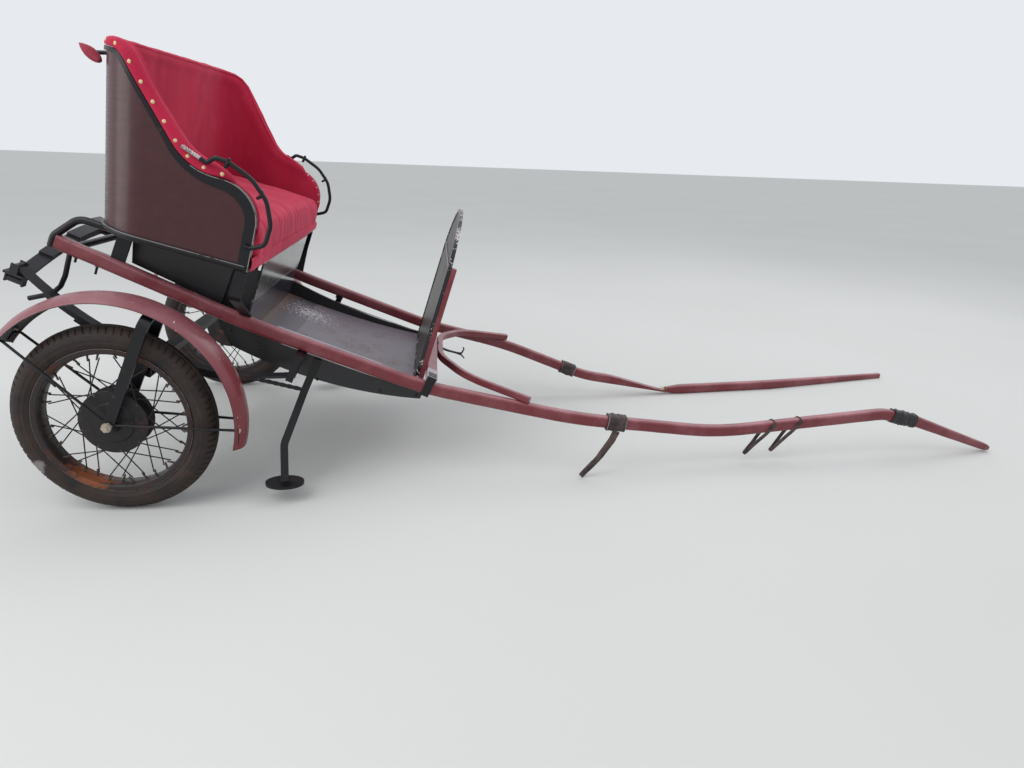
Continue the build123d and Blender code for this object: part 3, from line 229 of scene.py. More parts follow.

# %% [markdown]
# The mudguards are sheet steel sprayed with the shafts' oxide red, smoother and shinier than
# brushed wood. Where the outside faces up it is paler and pinker: partly dust, partly a painted
# highlight of the light from above. The inside, facing the wheel, is near black. The shader tells the
# two faces apart by whether the surface looks away from the wheel's axis: the dot product of its normal and
# its place seen from there.

# %% Oxide paint on sheet steel
def mudguard_paint(name):
    made, tree, shader, spot = material(name, IOR=1.5, Coat_Weight=0.3, Coat_Roughness=0.2)
    face = add(tree, "NewGeometry").outputs["Normal"]
    height = add(tree, "SeparateXYZ", {"Vector": face}).outputs["Z"]
    arm = add(tree, "VectorMath", {0: spot, 1: tuple(AXLE)}, operation="SUBTRACT")
    flat = add(tree, "VectorMath", {0: arm, 1: (1, 0, 1)}, operation="MULTIPLY")
    facing = add(tree, "VectorMath", {0: face, 1: flat}, operation="DOT_PRODUCT")
    # The inside, facing the wheel, is made near black.
    inside = add(tree, "MapRange", {"Value": facing, "From Min": 0.05, "From Max": -0.05})
    dust = add(tree, "TexNoise", {"Vector": spot, "Scale": 7.0, "Detail": 7.0, "Roughness": 0.6})
    chips = add(tree, "TexNoise", {"Vector": spot, "Scale": 90.0, "Detail": 4.0, "Roughness": 0.5})
    # Upward faces go paler and pinker with the dust noise: partly dust, partly painted highlight.
    sky = add(tree, "MapRange", {"Value": height, "From Min": 0.1, "From Max": 1.0, "To Max": 0.8})
    dust_and_highlight = add(tree, "Math", {0: sky, 1: dust}, operation="MULTIPLY")
    outer = add(tree, "Mix", {"Factor": dust_and_highlight, 6: "#701B25", 7: "#B0848C"})
    chipped = add(tree, "MapRange", {"Value": chips, "From Min": 0.74, "From Max": 0.76})
    scraped = add(tree, "MapRange", {"Value": chips, "From Min": 0.285, "From Max": 0.27})
    pale = add(tree, "Mix", {"Factor": scraped, 6: outer, 7: "#C9B4B4"})
    flecked = add(tree, "Mix", {"Factor": chipped, 6: pale, 7: "#2E1C1C"})
    coat = add(tree, "Mix", {"Factor": inside, 6: flecked, 7: "#151214"})
    rough = add(tree, "MapRange", {"Value": dust, "To Min": 0.24, "To Max": 0.5})
    waves = add(tree, "Bump", {"Height": dust, "Strength": 0.1, "Distance": 0.004})
    fill(shader, {"Base Color": coat, "Roughness": rough, "Normal": waves})
    return made


fender_paint = mudguard_paint("oxide paint on sheet steel")
clothe(fender_paint, *both("fender"))
print("mudguards", fender_paint.name)

# %% [markdown]
# Wrought iron fittings were painted black long ago. The paint has gone satin, and rust comes
# through as brown freckles from 1 to 5 mm across. Bare rust is rough and isn't a mirror, so both
# coats are plain dielectrics with different roughness.

# %% Black paint over iron
def rusty_iron(name, paint, rust, share, roughness=0.34, freckle=70.0):
    made, tree, shader, spot = material(name, IOR=1.5, Specular_IOR_Level=0.36)
    blotch = add(tree, "TexNoise", {"Vector": spot, "Scale": 9.0, "Detail": 4.0})
    speck = add(tree, "TexNoise", {"Vector": spot, "Scale": freckle, "Detail": 8.0, "Roughness": 0.7})
    summed = add(tree, "Math", {0: blotch, 1: speck}, operation="ADD")
    mask = add(tree, "MapRange", {"Value": summed, "From Min": 1.24 - share, "From Max": 1.34 - share})
    coat = add(tree, "Mix", {"Factor": mask, 6: paint, 7: rust})
    rough = add(tree, "MapRange", {"Value": mask, "To Min": roughness, "To Max": 0.8})
    skin_relief = add(tree, "Bump", {"Height": speck, "Strength": 0.3, "Distance": 0.0008})
    fill(shader, {"Base Color": coat, "Roughness": rough, "Normal": skin_relief})
    return made, tree, shader


black_iron = rusty_iron("black paint on wrought iron", "#0D0D12", "#382A26", 0.05)[0]
clothe(black_iron, "splinter_straps", "grip_irons", "seat_struts", "seat_legs", "rear_crossbar", "rear_irons",
       "axle_beam", "dash_frame", "seat_edge_iron",
       *both("wheel_fork", "fender_stays", "spring_hanger", "rear_hoop", "arm_rail", "step"))
spring_steel = rusty_iron("weathered spring steel", "#25242A", "#40322E", 0.12, 0.42)[0]
clothe(spring_steel, "cross_spring", "spring_shackles", "step_stays", "trace_hook", *both("side_spring"))
hub_steel = rusty_iron("rusting drum steel", "#191618", "#3E2C28", 0.16, 0.45, 90.0)[0]
clothe(hub_steel, *both("hub"))
dull_zinc = rusty_iron("dull zinc plate", "#A69C8C", "#6A4A38", 0.02, 0.32)[0]
clothe(dull_zinc, *both("axle_pin"))
print("irons", black_iron.name, spring_steel.name, hub_steel.name)

# %% [markdown]
# The rims rust from the inside, where water stays under the tyres. Most of the steel is dark
# brown, with an orange patch as long as a hand low on the near wheel's rear. The patch is a soft
# ball round a place on the rim, broken up by noise.

# %% Rusted rims
rim_steel, tree, shader = rusty_iron("rusted pressed steel", "#2A2020", "#44291F", 0.16, 0.42, 45.0)
coat = shader.inputs["Base Color"].links[0].from_socket
spot = add(tree, "TexCoord").outputs["Object"]
crumbs = add(tree, "TexNoise", {"Vector": spot, "Scale": 60.0, "Detail": 6.0})
patch_spot = AXLE + Vector((-0.10, -HALF_TRACK / 1000, -0.20))
away = add(tree, "VectorMath", {0: spot, 1: tuple(patch_spot)}, operation="DISTANCE")
ragged = add(tree, "Math", {0: crumbs, 1: 0.16, 2: away}, operation="MULTIPLY_ADD")
patch = add(tree, "MapRange", {"Value": ragged, "From Min": 0.165, "From Max": 0.12})
orange = add(tree, "Mix", {"Factor": patch, 6: coat, 7: "#7C4428"})
fill(shader, {"Base Color": orange})
clothe(rim_steel, *both("rim"))
print("rims", rim_steel.name)

# %% [markdown]
# Most pieces below are made the same way: a row of rings, each with as many points, and a skin
# over them. A bar is one section carried along a path, and a round piece is a profile turned about
# a line. Places are kept in the level gig's millimetres until the mesh is made.

# %% Skins, bars and turned pieces
def skin(rings, loop=False, caps=True):
    """Places and faces of a skin over rings of points; loop joins the last ring to the first."""
    count = len(rings[0])
    places = [Vector(p) for ring in rings for p in ring]
    faces = []
    for i in range(len(rings) if loop else len(rings) - 1):
        a, b = i * count, (i + 1) % len(rings) * count
        for j in range(count):
            k = (j + 1) % count
            faces.append((a + j, a + k, b + k, b + j))
    if caps and not loop:
        faces.append(tuple(range(count))[::-1])
        faces.append(tuple(range(len(places) - count, len(places))))
    return places, faces


def piece(name, parts, finish, body="carriage", sharp=38, put=place):
    """One Blender piece from several skins, riding on a body."""
    vertices, faces = [], []
    for places, quads in parts:
        base = len(vertices)
        vertices += [tuple(put(p)) for p in places]
        faces += [tuple(base + i for i in quad) for quad in quads]
    data = bpy.data.meshes.new(name)
    data.from_pydata(vertices, [], faces)
    mesh = bmesh.new()
    mesh.from_mesh(data)
    bmesh.ops.remove_doubles(mesh, verts=mesh.verts, dist=1e-6)
    bmesh.ops.recalc_face_normals(mesh, faces=mesh.faces)
    mesh.to_mesh(data)
    mesh.free()
    data.shade_smooth()
    data.set_sharp_from_angle(angle=math.radians(sharp))
    data.materials.append(finish)
    o = bpy.data.objects.new(name, data)
    bpy.context.scene.collection.objects.link(o)
    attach(o, body)
    return o


def oval(width, height, count=12):
    """A round or oval section as (across, up) pairs."""
    return [(width / 2 * math.cos(math.tau * i / count), height / 2 * math.sin(math.tau * i / count))
            for i in range(count)]


def soft_square(width, height, corner, steps=4):
    """A rectangular section with round corners."""
    points = []
    for cx, cy, start in ((1, 1, 0), (-1, 1, 90), (-1, -1, 180), (1, -1, 270)):
        for i in range(steps + 1):
            a = math.radians(start + 90 * i / steps)
            points.append((cx * (width / 2 - corner) + corner * math.cos(a),
                           cy * (height / 2 - corner) + corner * math.sin(a)))
    return points


def bent(stations, step=12.0):
    """Points along straight runs whose corners, given as (x, y, z, radius), are rounded."""
    corners = [Vector(s[:3]) for s in stations]
    line = [corners[0]]
    for i in range(1, len(corners) - 1):
        radius = stations[i][3]
        before = (corners[i - 1] - corners[i]).normalized()
        after = (corners[i + 1] - corners[i]).normalized()
        half = (math.pi - before.angle(after)) / 2
        if radius <= 0 or half < 1e-4:
            line.append(corners[i])
            continue
        reach = radius * math.tan(half)
        middle = (before + after).normalized()
        centre = corners[i] + middle * (radius / math.cos(half))
        start, end = corners[i] + before * reach - centre, corners[i] + after * reach - centre
        count = max(2, int(2 * half * radius / step) + 1)
        turn, axis = start.angle(end), start.cross(end)
        for k in range(count + 1):
            line.append(centre + Matrix.Rotation(turn * k / count, 3, axis) @ start)
    line.append(corners[-1])
    full = [line[0]]
    for p, q in zip(line, line[1:]):
        count = max(1, round((q - p).length / step / 2))
        full += [p.lerp(q, k / count) for k in range(1, count + 1)]
    return full


def bar(path, section, side=(0, 1, 0), size=None, caps=True, twist=0.0):
    """A section carried along a path, its across axis kept near the vector side."""
    rings = []
    for i, p in enumerate(path):
        along = (path[min(i + 1, len(path) - 1)] - path[max(i - 1, 0)]).normalized()
        out = (Vector(side) - along * along.dot(Vector(side))).normalized()
        if twist:
            out = Matrix.Rotation(twist * i / len(path), 3, along) @ out
        up = along.cross(out)
        share = size(i / (len(path) - 1)) if size else 1.0
        rings.append([p + out * (a * share) + up * (b * share) for a, b in section])
    return skin(rings, caps=caps)


def straight(start, end, count=2):
    """Points along a straight line."""
    return [Vector(start).lerp(Vector(end), k / (count - 1)) for k in range(count)]


def turned(profile, spot, way, count=16):
    """A profile of (height, radius) pairs turned about a line through a spot."""
    way = Vector(way).normalized()
    a = way.orthogonal().normalized()
    b = way.cross(a)
    spot = Vector(spot)
    angles = [math.tau * k / count for k in range(count)]
    return skin([[spot + way * h + (a * math.cos(t) + b * math.sin(t)) * r for t in angles]
                 for h, r in profile])


def dome(spot, way, radius, height):
    """A round nail or bolt head."""
    return turned([(-1, radius * 0.9), (0, radius), (height * 0.45, radius * 0.86),
                   (height * 0.8, radius * 0.55), (height, radius * 0.15)], spot, way, 10)


def hexagon(spot, way, across, height):
    """A nut or a bolt's head."""
    r = across / 2 / math.cos(math.pi / 6)
    return turned([(0, r * 0.97), (height * 0.12, r), (height * 0.85, r), (height, r * 0.88)], spot, way, 6)


print("ways of making: skin, bar, turned, dome, hexagon")

# %% [markdown]
# The two shafts are steam-bent ash bars, 38 by 46 mm with rounded edges. The CAD mesh shows its
# facets along the long bends, so the shafts are skinned again here, with a ring every 12 mm and the
# same sizes. A slow noise of half a millimetre gives the hand-planed faces and old dents.

# %% Shafts
SHAFT_SECTION = soft_square(38, 46, 12, 5)
sound_line = [(-382, -SHAFT_Y, 738, 0), (250, -SHAFT_Y, 728, 2400), (880, -SHAFT_Y, 762, 1200),
              (1450, -440, 869, 2400), (2030, -365, 1030, 1200), (2700, -300, 1385, 260),
              (2860, -293, 1415, 0)]
stub_line = [(-382, SHAFT_Y, 738, 0), (250, SHAFT_Y, 728, 2400), (880, SHAFT_Y, 762, 1200),
             (1250, 456, 832, 1500), (1700, 464, 852, 700), (2150, 490, 966, 0)]


def rear_end(p):
    """0 along the shafts, rising to 1 over the last 130 mm at the rear, where they are chewed."""
    return max(0.0, min(1.0, (-190 - p.x) / 130))


def worn(part, depth=0.6, scale=1 / 60):
    """The same skin with the small hollows of hand work and use."""
    places, faces = part
    return [p + noise.noise_vector(p * scale) * depth * (1 + 5 * rear_end(p)) for p in places], faces


def at_x(path, x):
    """The place and direction of a path where it passes x."""
    for p, q in zip(path, path[1:]):
        if p.x <= x <= q.x:
            return p.lerp(q, (x - p.x) / (q.x - p.x)), (q - p).normalized()


sound_path = bent(sound_line)
tip_start, tip_end = sound_path[-1], Vector((3277, -270, 1449))
near_shaft = bar(sound_path, SHAFT_SECTION)
tip_path = straight(tip_start, tip_end, 30)
tip = bar(tip_path, SHAFT_SECTION,
          size=lambda t: (1 - 0.34 * t) * (1 if t < 0.93 else 1 - ((t - 0.93) / 0.07) ** 2 * 0.45))
shaft_right = piece("ash_shaft_right", [worn(near_shaft), worn(tip)], oxide_paint)
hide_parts("shaft_right")
print("sound shaft", len(shaft_right.data.polygons), "faces")

# %% [markdown]
# The left shaft snapped beyond the bow. Ash breaks along its grain, so what is left tapers to a
# long tongue on the underside, and the piece that came off starts with a short ragged end. The
# break shows pale orange wood. Each end is skinned with its upper side cut down to a saw-toothed
# line, and a handful of thin splinters stands on the break.

# %% Broken shaft
SPLINTER = 340.0
bare_ash, tree, shader, spot = material("broken ash", IOR=1.5, Roughness=0.75)
fibre = add(tree, "Mapping", {"Vector": spot, "Scale": (15, 400, 400)})
strands = add(tree, "TexNoise", {"Vector": fibre, "Scale": 1.0, "Detail": 4.0})
wood = add(tree, "Mix", {"Factor": strands, 6: "#7A4A30", 7: "#D8B088"})
torn = add(tree, "Bump", {"Height": strands, "Strength": 0.6, "Distance": 0.002})
fill(shader, {"Base Color": wood, "Normal": torn})

stub_path = bent(stub_line)
left_rings = bar(stub_path, SHAFT_SECTION)[0]
count = len(SHAFT_SECTION)
stub_end = stub_path[-1]
cut_rings = []
for i, p in enumerate(stub_path):
    ring = left_rings[i * count:(i + 1) * count]
    left = (stub_end - p).length
    if left < SPLINTER:
        share = left / SPLINTER
        tooth = 3.0 * noise.noise(Vector((left / 9, 0, 3))) * (1 - share)
        ceiling = -23 + 46 * (0.14 + 0.86 * share) + tooth
        along = (stub_end - stub_path[i - 1]).normalized()
        lift = along.cross(ACROSS).normalized() * -1
        lift = lift if lift.z > 0 else -lift
        ring = [q - lift * max(0.0, (q - p).dot(lift) - ceiling) for q in ring]
    cut_rings.append(ring)
stub = piece("ash_shaft_left", [skin(cut_rings)], oxide_paint)
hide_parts("shaft_left")

stub_metres = place(stub_end)
turn_a, turn_b = math.radians(8), math.radians(14)
rear = Vector((stub_metres.x * 1000 - 5, stub_metres.y * 1000, 23))
knee = rear + Vector((math.cos(turn_a), math.sin(turn_a), 0)) * 620
front = knee + Vector((math.cos(turn_b), math.sin(turn_b), 0)) * 800
front.z = 13


def parked(p):
    """A place given in the parked gig's millimetres, in metres."""
    return Vector(p) / 1000


loose_path = [rear.lerp(knee, k / 24) for k in range(24)] + [knee.lerp(front, k / 30) for k in range(31)]


def loose_size(t):
    """The broken end's thickness: torn thin at its rear, tapered at its front."""
    grown = 0.62 + 0.38 * min(1.0, t * 54 / 3)
    thin = 1 - 0.34 * max(0.0, (t - 0.45) / 0.55)
    return grown * thin


loose_end = worn(bar(loose_path, SHAFT_SECTION, size=loose_size))
loose = piece("broken_front", [loose_end], oxide_paint, put=parked)
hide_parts("shaft_left_broken_end")

slivers = []
for k in range(26):
    a, b = (k * 0.618) % 1, (k * 0.382 + 0.2) % 1
    base = rear + Vector((2 + 22 * a, (b - 0.5) * 26, -14 + 26 * ((a * 7) % 1)))
    lean = Vector((-18 - 26 * b, (a - 0.5) * 12, 5 * (b - 0.3)))
    slivers.append(bar(straight(base, base + lean, 4), oval(4.5, 2.4, 5), size=lambda t: 1.05 - t))
tongue = place(stub_end - (stub_end - stub_path[-2]).normalized() * 30) * 1000
for k in range(12):
    a, b = (k * 0.618) % 1, (k * 0.382 + 0.4) % 1
    base = tongue + Vector((-60 * a, (b - 0.5) * 24, -13 + 3 * a))
    lean = Vector((34 + 20 * b, (a - 0.5) * 8, 1 + 4 * b))
    slivers.append(bar(straight(base, base + lean, 4), oval(5, 2.2, 5), size=lambda t: 1.05 - t))
splinters = piece("ash_splinters", slivers, bare_ash, put=parked)
print("broken shaft", len(slivers), "splinters")

# %% [markdown]
# The tyres are 3.00-18 motorcycle tyres, brown with age and dried mud. The tread has a plain
# rib in the middle between two grooves and shoulder blocks cut by slanting notches, 84 round the
# tyre. The notches are real hollows in the mesh: each pitch of the tread gets six rings, two of
# them down in the notch. The sidewall has two fine ribs, as the mould leaves them.

# %% Tyre rubber
def tyre_rubber(name):
    made, tree, shader, spot = material(name, IOR=1.52, Specular_IOR_Level=0.35)
    mud = add(tree, "TexNoise", {"Vector": spot, "Scale": 14.0, "Detail": 7.0, "Roughness": 0.65})
    grit = add(tree, "TexNoise", {"Vector": spot, "Scale": 260.0, "Detail": 4.0, "Roughness": 0.6})
    dusty = add(tree, "MapRange", {"Value": mud, "From Min": 0.35, "From Max": 0.7})
    tone = add(tree, "Mix", {"Factor": dusty, 6: "#171211", 7: "#3E302A"})
    scuff_spot = AXLE + Vector((-0.245, -HALF_TRACK / 1000 - 0.035, -0.15))
    away = add(tree, "VectorMath", {0: spot, 1: tuple(scuff_spot)}, operation="DISTANCE")
    rubbed = add(tree, "Math", {0: mud, 1: 0.10, 2: away}, operation="MULTIPLY_ADD")
    scuff = add(tree, "MapRange", {"Value": rubbed, "From Min": 0.074, "From Max": 0.06, "To Max": 0.4})
    chalky = add(tree, "Mix", {"Factor": scuff, 6: tone, 7: "#B8AEB0"})
    rough = add(tree, "MapRange", {"Value": dusty, "To Min": 0.55, "To Max": 0.85})
    crust = add(tree, "Bump", {"Height": mud, "Strength": 0.3, "Distance": 0.002})
    fine = add(tree, "Bump", {"Height": grit, "Strength": 0.25, "Distance": 0.0006, "Normal": crust})
    fill(shader, {"Base Color": chalky, "Roughness": rough, "Normal": fine})
    return made


rubber = tyre_rubber("aged tyre rubber")
print("tyre rubber", rubber.name)

# %% Tyres
PITCHES, NOTCH = 84, 3.6
# columns: offset across the tyre and radius of the half section from the bead to the tread's middle
half_tyre = [(24, 229), (28.5, 236), (29, 242.5), (32, 246), (36.2, 253), (38.4, 259), (39.6, 260.5),
             (39.3, 262.5), (39.9, 268), (40, 273), (40.6, 274.5), (39.9, 276.5), (38.8, 283), (37, 289),
             (34, 293), (33, 295.2), (28, 300.5), (22, 305.5), (17, 309), (12.5, 311.4), (11.6, 307.5),
             (9.4, 308.4), (8.5, 313.3), (4.5, 314.6)]
tyre_section = half_tyre + [(0, 315)] + [(-y, r) for y, r in reversed(half_tyre)]


def on_wheel(side, radius, angle, y):
    """A place on a wheel: its distance from the axle, its angle and its offset from the wheel's middle."""
    return Vector((radius * math.cos(angle), side * HALF_TRACK + y, AXLE_MM + radius * math.sin(angle)))


def tyre(name, side):
    """A whole tyre in the level gig's millimetres."""
    rings = []
    for number in range(PITCHES):
        for share, depth in ((0.0, 0.0), (0.30, 0.0), (0.52, 0.0), (0.70, 0.0), (0.76, 1.0), (0.94, 1.0)):
            ring = []
            for y, r in tyre_section:
                slant = 0.35 * (abs(y) - 10) / 30 * (1 if y > 0 else -1)
                angle = math.tau * (number + share + slant * (abs(y) > 12)) / PITCHES
                cut = NOTCH * depth if 12.4 < abs(y) < 35 and r > 294 else 0.0
                wear = 0.35 * noise.noise(Vector((math.cos(angle) * 9, math.sin(angle) * 9, y / 14)))
                ring.append(on_wheel(side, r - cut + wear, angle, y))
            rings.append(ring)
    o = piece(name, [skin(rings, loop=True)], rubber, "wheel_" + name.split("_")[1], sharp=42)
    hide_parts(name.replace("rubber", "tyre"))
    return o


tyres = [tyre("rubber_right", RIGHT), tyre("rubber_left", LEFT)]
for o in tyres:
    lowest = min(v.co.z for v in o.data.vertices)
    for v in o.data.vertices:
        if v.co.z < 0.0004:
            v.co.z = 0.0004
    print(o.name, len(o.data.polygons), "faces, lowest", round(lowest * 1000, 2), "mm")

# %% [markdown]
# The rims are rolled steel: two flanges that hold the tyre's beads, two seats and a shallow well
# between them. The ring is built again with its true thin section, because its inside shows
# between the spokes from above.

# %% Rims
half_rim = [(11, 226), (15, 228.3), (28.6, 228.4), (30.4, 231), (31.6, 237), (32.2, 242), (33.2, 243.4),
            (34.4, 242.8), (34.6, 240), (33.8, 234), (32.4, 227.8), (29.5, 225.4), (16, 225), (12, 222.6)]
rim_section = half_rim + [(-y, r) for y, r in reversed(half_rim)]
for side, word in SIDES:
    rings = [[on_wheel(side, r, math.tau * k / 144, y) for y, r in rim_section] for k in range(144)]
    ring = piece("rolled_rim_" + word, [skin(rings, loop=True)], rim_steel, "wheel_" + word, sharp=34)
    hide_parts("rim_" + word)
    print(ring.name, len(ring.data.polygons))

# %% [markdown]
# Each spoke ends at the rim in a brass nipple, and at the hub in a bent head through the
# flange. These are small turned pieces in two rings, 36 a wheel. A thin pale ring round each
# rim's edge is a painted highlight.

# %% Spoke nipples and rim edges
SPOKES, SPOKE_LEAN = 36, math.radians(40)
NIPPLE_R, SPOKE_FOOT_R, FLANGE_LIP_R = 223, 99, 243.4
old_brass = rusty_iron("tarnished brass", "#4E4238", "#2E2420", 0.2, 0.5, 120.0)[0]
# A pale steel finish: painted highlights on the rims, the edge iron and the moulding, and the bare steel of
# the collar wires.
highlight_and_pale_steel = rusty_iron("painted highlight and pale steel", "#8A8486", "#4A342C", 0.18, 0.35, 60.0)[0]


def wheel_small_parts(side, word):
    """The nipples and spoke heads of a wheel, and the painted highlights round its rim's edges."""
    nipples = []
    for number in range(SPOKES):
        way = 1 if number % 2 else -1
        lean = SPOKE_LEAN if (number // 2) % 2 else -SPOKE_LEAN
        a = math.tau * number / SPOKES
        head = on_wheel(side, NIPPLE_R, a, way * 5)
        face = 31 - 0.5 if lean > 0 else 27 + 0.5
        foot = on_wheel(side, SPOKE_FOOT_R, a - lean, way * face)
        along = (foot - head).normalized()
        nipples.append(turned([(-1.5, 3.8), (2, 4.0), (4, 3.4), (20, 3.0), (23, 2.4)], head, along, 8))
        outward = Vector((0, way if face > 29 else -way, 0))
        nipples.append(dome(foot, outward, 3.6, 2.2))
    made = piece("spoke_nipples_" + word, nipples, old_brass, "wheel_" + word, sharp=50)
    # A pale ring on each rim's flange lip is a painted highlight.
    rings = []
    for way in (-1, 1):
        for k in range(96):
            a = math.tau * k / 96
            rings.append([on_wheel(side, FLANGE_LIP_R + y, a, way * (33.4 + x))
                          for x, y in oval(2.0, 1.2, 6)])
    edges = [skin(rings[:96], loop=True), skin(rings[96:], loop=True)]
    edges = piece("rim_edges_" + word, edges, highlight_and_pale_steel, "wheel_" + word)
    return made, edges


for side, word in SIDES:
    made, edges = wheel_small_parts(side, word)
    print(made.name, len(made.data.polygons), edges.name, len(edges.data.polygons))

# %% [markdown]
# The mudguards are rolled from 1.2 mm sheet with a deep crown, and their edges are turned round
# a wire so that they are stiff and don't cut. The measured arc is a little flatter and lower than
# the plain solid, so the sheet is built again here, with its four round stays bolted near its
# edges. Underneath it is near black.

# %% Mudguards and stays
FENDER_R, FENDER_X, FENDER_Z, FENDER_HALF, CROWN = 406.0, -3.0, 326.0, 63.0, 24.0
FRONT_END, REAR_END, STAY_ANGLES, STAY_FOOT, SHEET = 9.0, 168.0, (19.0, 160.0), 12.0, 1.8


def on_fender(side, angle, y, lift=0.0):
    """A place on a mudguard's outside: an angle round it and an offset across."""
    a = math.radians(angle)
    r = FENDER_R - CROWN * abs(y / FENDER_HALF) ** 2.2 + lift
    return Vector((FENDER_X + r * math.cos(a), side * HALF_TRACK + y, FENDER_Z + r * math.sin(a)))


sheet_offsets = [-63, -60, -54, -46, -36, -24, -12, 0, 12, 24, 36, 46, 54, 60, 63]
for side, word in SIDES:
    rings = []
    for k in range(121):
        angle = FRONT_END + (REAR_END - FRONT_END) * k / 120
        dents = {y: -2.2 * noise.noise(Vector((angle / 16, y / 60, side * 3.0))) for y in sheet_offsets}
        rings.append([on_fender(side, angle, y, dents[y]) for y in sheet_offsets]
                     + [on_fender(side, angle, y, dents[y] - SHEET) for y in reversed(sheet_offsets)])
    sheet = piece("mudguard_sheet_" + word, [skin(rings)], fender_paint, sharp=45)
    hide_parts("fender_" + word)
    wires = []
    angles = [FRONT_END + (REAR_END - FRONT_END) * k / 90 for k in range(91)]
    for way in (-1, 1):
        path = [on_fender(side, angle, way * 62.4, -1.5) for angle in angles]
        wires.append(bar(path, oval(6, 5, 8)))
    edge = piece("mudguard_edges_" + word, wires, fender_paint)
    rods, heads = [], []
    for way in (-1, 1):
        foot_y = side * HALF_TRACK + way * 66
        for end, angle in zip((1, -1), STAY_ANGLES):
            top = on_fender(side, angle, way * 50, -3)
            flat = on_fender(side, angle - end * 7, way * 50, -3.2)
            foot = Vector((end * 17, foot_y, AXLE_MM + STAY_FOOT))
            rods.append(bar([foot, foot.lerp(top, 0.5), foot.lerp(top, 0.96), top.lerp(flat, 0.25), flat],
                            oval(9, 9, 10), size=lambda t: 1.0 if t < 0.9 else 0.75))
            base = on_fender(side, angle, way * 50, 0.4)
            out = (base - Vector((FENDER_X, base.y, FENDER_Z))).normalized()
            heads.append(turned([(-6, 3), (-0.5, 3), (-0.5, 8.5), (1.2, 8.5), (1.4, 6)], base, out, 14))
            heads.append(dome(base + out * 1.2, out, 6.0, 3.6))
    stays = piece("guard_stays_" + word, rods, black_iron)
    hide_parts("fender_stays_" + word)
    bolts = piece("guard_bolts_" + word, heads, dull_zinc)
    print(sheet.name, len(sheet.data.polygons), edge.name, stays.name, bolts.name)

# %% [markdown]
# The seat is lined with crimson plush, a cut pile with a bright nap. Where hands and backs have
# brushed it the other way it looks lighter, so the colour drifts in soft upright streaks, and
# the worn edges are paler. Sheen gives the light rim of a pile, and a fine bump gives its grain.
# The cushion's copy is lighter: partly plush worn by sitting, partly painted light on its up-facing
# top, and it also paints the highlight on the roll's welt.

# %% Crimson plush
def pile(name, deep, mid, pale, streak):
    made, tree, shader, spot = material(name, IOR=1.45, Roughness=0.92, Specular_IOR_Level=0.25,
                                        Sheen_Weight=0.55, Sheen_Roughness=0.35, Sheen_Tint="#FF8A9E")
    brushed = add(tree, "Mapping", {"Vector": spot, "Scale": (8, 8, streak)})
    nap = add(tree, "TexNoise", {"Vector": brushed, "Scale": 1.0, "Detail": 5.0, "Roughness": 0.6})
    wear = add(tree, "TexNoise", {"Vector": spot, "Scale": 5.0, "Detail": 6.0, "Roughness": 0.65})
    grain = add(tree, "TexNoise", {"Vector": spot, "Scale": 420.0, "Detail": 3.0, "Roughness": 0.7})
    ramp = add(tree, "MapRange", {"Value": nap, "From Min": 0.3, "From Max": 0.72})
    body = add(tree, "Mix", {"Factor": ramp, 6: deep, 7: mid})
    bare = add(tree, "MapRange", {"Value": wear, "From Min": 0.5, "From Max": 0.78, "To Max": 0.55})
    rubbed = add(tree, "Mix", {"Factor": bare, 6: body, 7: pale})
    tips = add(tree, "MapRange", {"Value": grain, "From Min": 0.35, "From Max": 0.75, "To Max": 0.22})
    lit = add(tree, "Mix", {"Factor": tips, 6: rubbed, 7: pale})
    soft = add(tree, "Bump", {"Height": nap, "Strength": 0.15, "Distance": 0.003})
    fine = add(tree, "Bump", {"Height": grain, "Strength": 0.35, "Distance": 0.0008, "Normal": soft})
    fill(shader, {"Base Color": lit, "Normal": fine})
    return made


lining_plush = pile("crimson plush, brushed upright", "#9C1737", "#B82443", "#CE4A64", 2.0)
# Lighter copy for the cushion, hem and welt: partly worn by sitting, partly painted light.
sat_on_and_lit_plush = pile("crimson plush, sat on and painted lighter", "#AE2242", "#C83552", "#DE667A", 5.0)
grip_plush = pile("faded plush over hair", "#7A2232", "#93303F", "#B86A72", 8.0)
print("plush", lining_plush.name, sat_on_and_lit_plush.name, grip_plush.name)

# %% [markdown]
# The lining follows the tub's top edge. It is glued up the inside, rolled over the edge round a
# hair-stuffed tube and nailed down outside, and a welt is sewn along the inner top of the roll.
# The edge is one line in the tub's own upright frame. At each place on it the roll's section is
# drawn square to the edge, and the wall runs down from there to the seat board. Towards the
# front the roll dies away and the lining ends flat on the arm.

# %% The tub's edge
SEAT_PITCH, LEAN, SEAT_BASE = math.radians(9), math.tan(math.radians(6.2)), 893.0
SOFT_BASE = 920.6
HALF_SEAT, SEAT_CORNER, SEAT_REAR = 600.0, 150.0, -265.0
TURN_X, TURN_Y = -115, 450  # the middle of each rear corner's arc
ARM_TOP, BACK_TOP = 1150, 1415.0


def seat(x, y, z):
    """A place on the tub's plan at a height, leaned back and pitched, in the level gig's millimetres."""
    x = x - (z - SEAT_BASE) * LEAN
    h = z - SEAT_BASE
    return Vector((x * math.cos(SEAT_PITCH) - h * math.sin(SEAT_PITCH), y,
                   SEAT_BASE + x * math.sin(SEAT_PITCH) + h * math.cos(SEAT_PITCH)))


outline = bent([(207, 0, 1035, 0), (207, 0, ARM_TOP, 115), (-16, 0, ARM_TOP, 170), (-245, 0, BACK_TOP, 60),
                (-330, 0, BACK_TOP, 0)], step=8)
outline = [p for p, q in zip(outline, outline[1:]) if (q - p).length > 1] + [outline[-1]]
edge_line = [Vector((p.x + (p.z - SEAT_BASE) * LEAN, 0, p.z)) for p in outline]
side_line = [p for p in edge_line if p.x > TURN_X]


def edge_height(x):
    """The edge's height over the tub's plan at x."""
    for p, q in zip(edge_line, edge_line[1:]):
        if q.x <= x <= p.x and p.x - q.x > 1e-6:
            return p.z + (q.z - p.z) * (p.x - x) / (p.x - q.x)
    return BACK_TOP


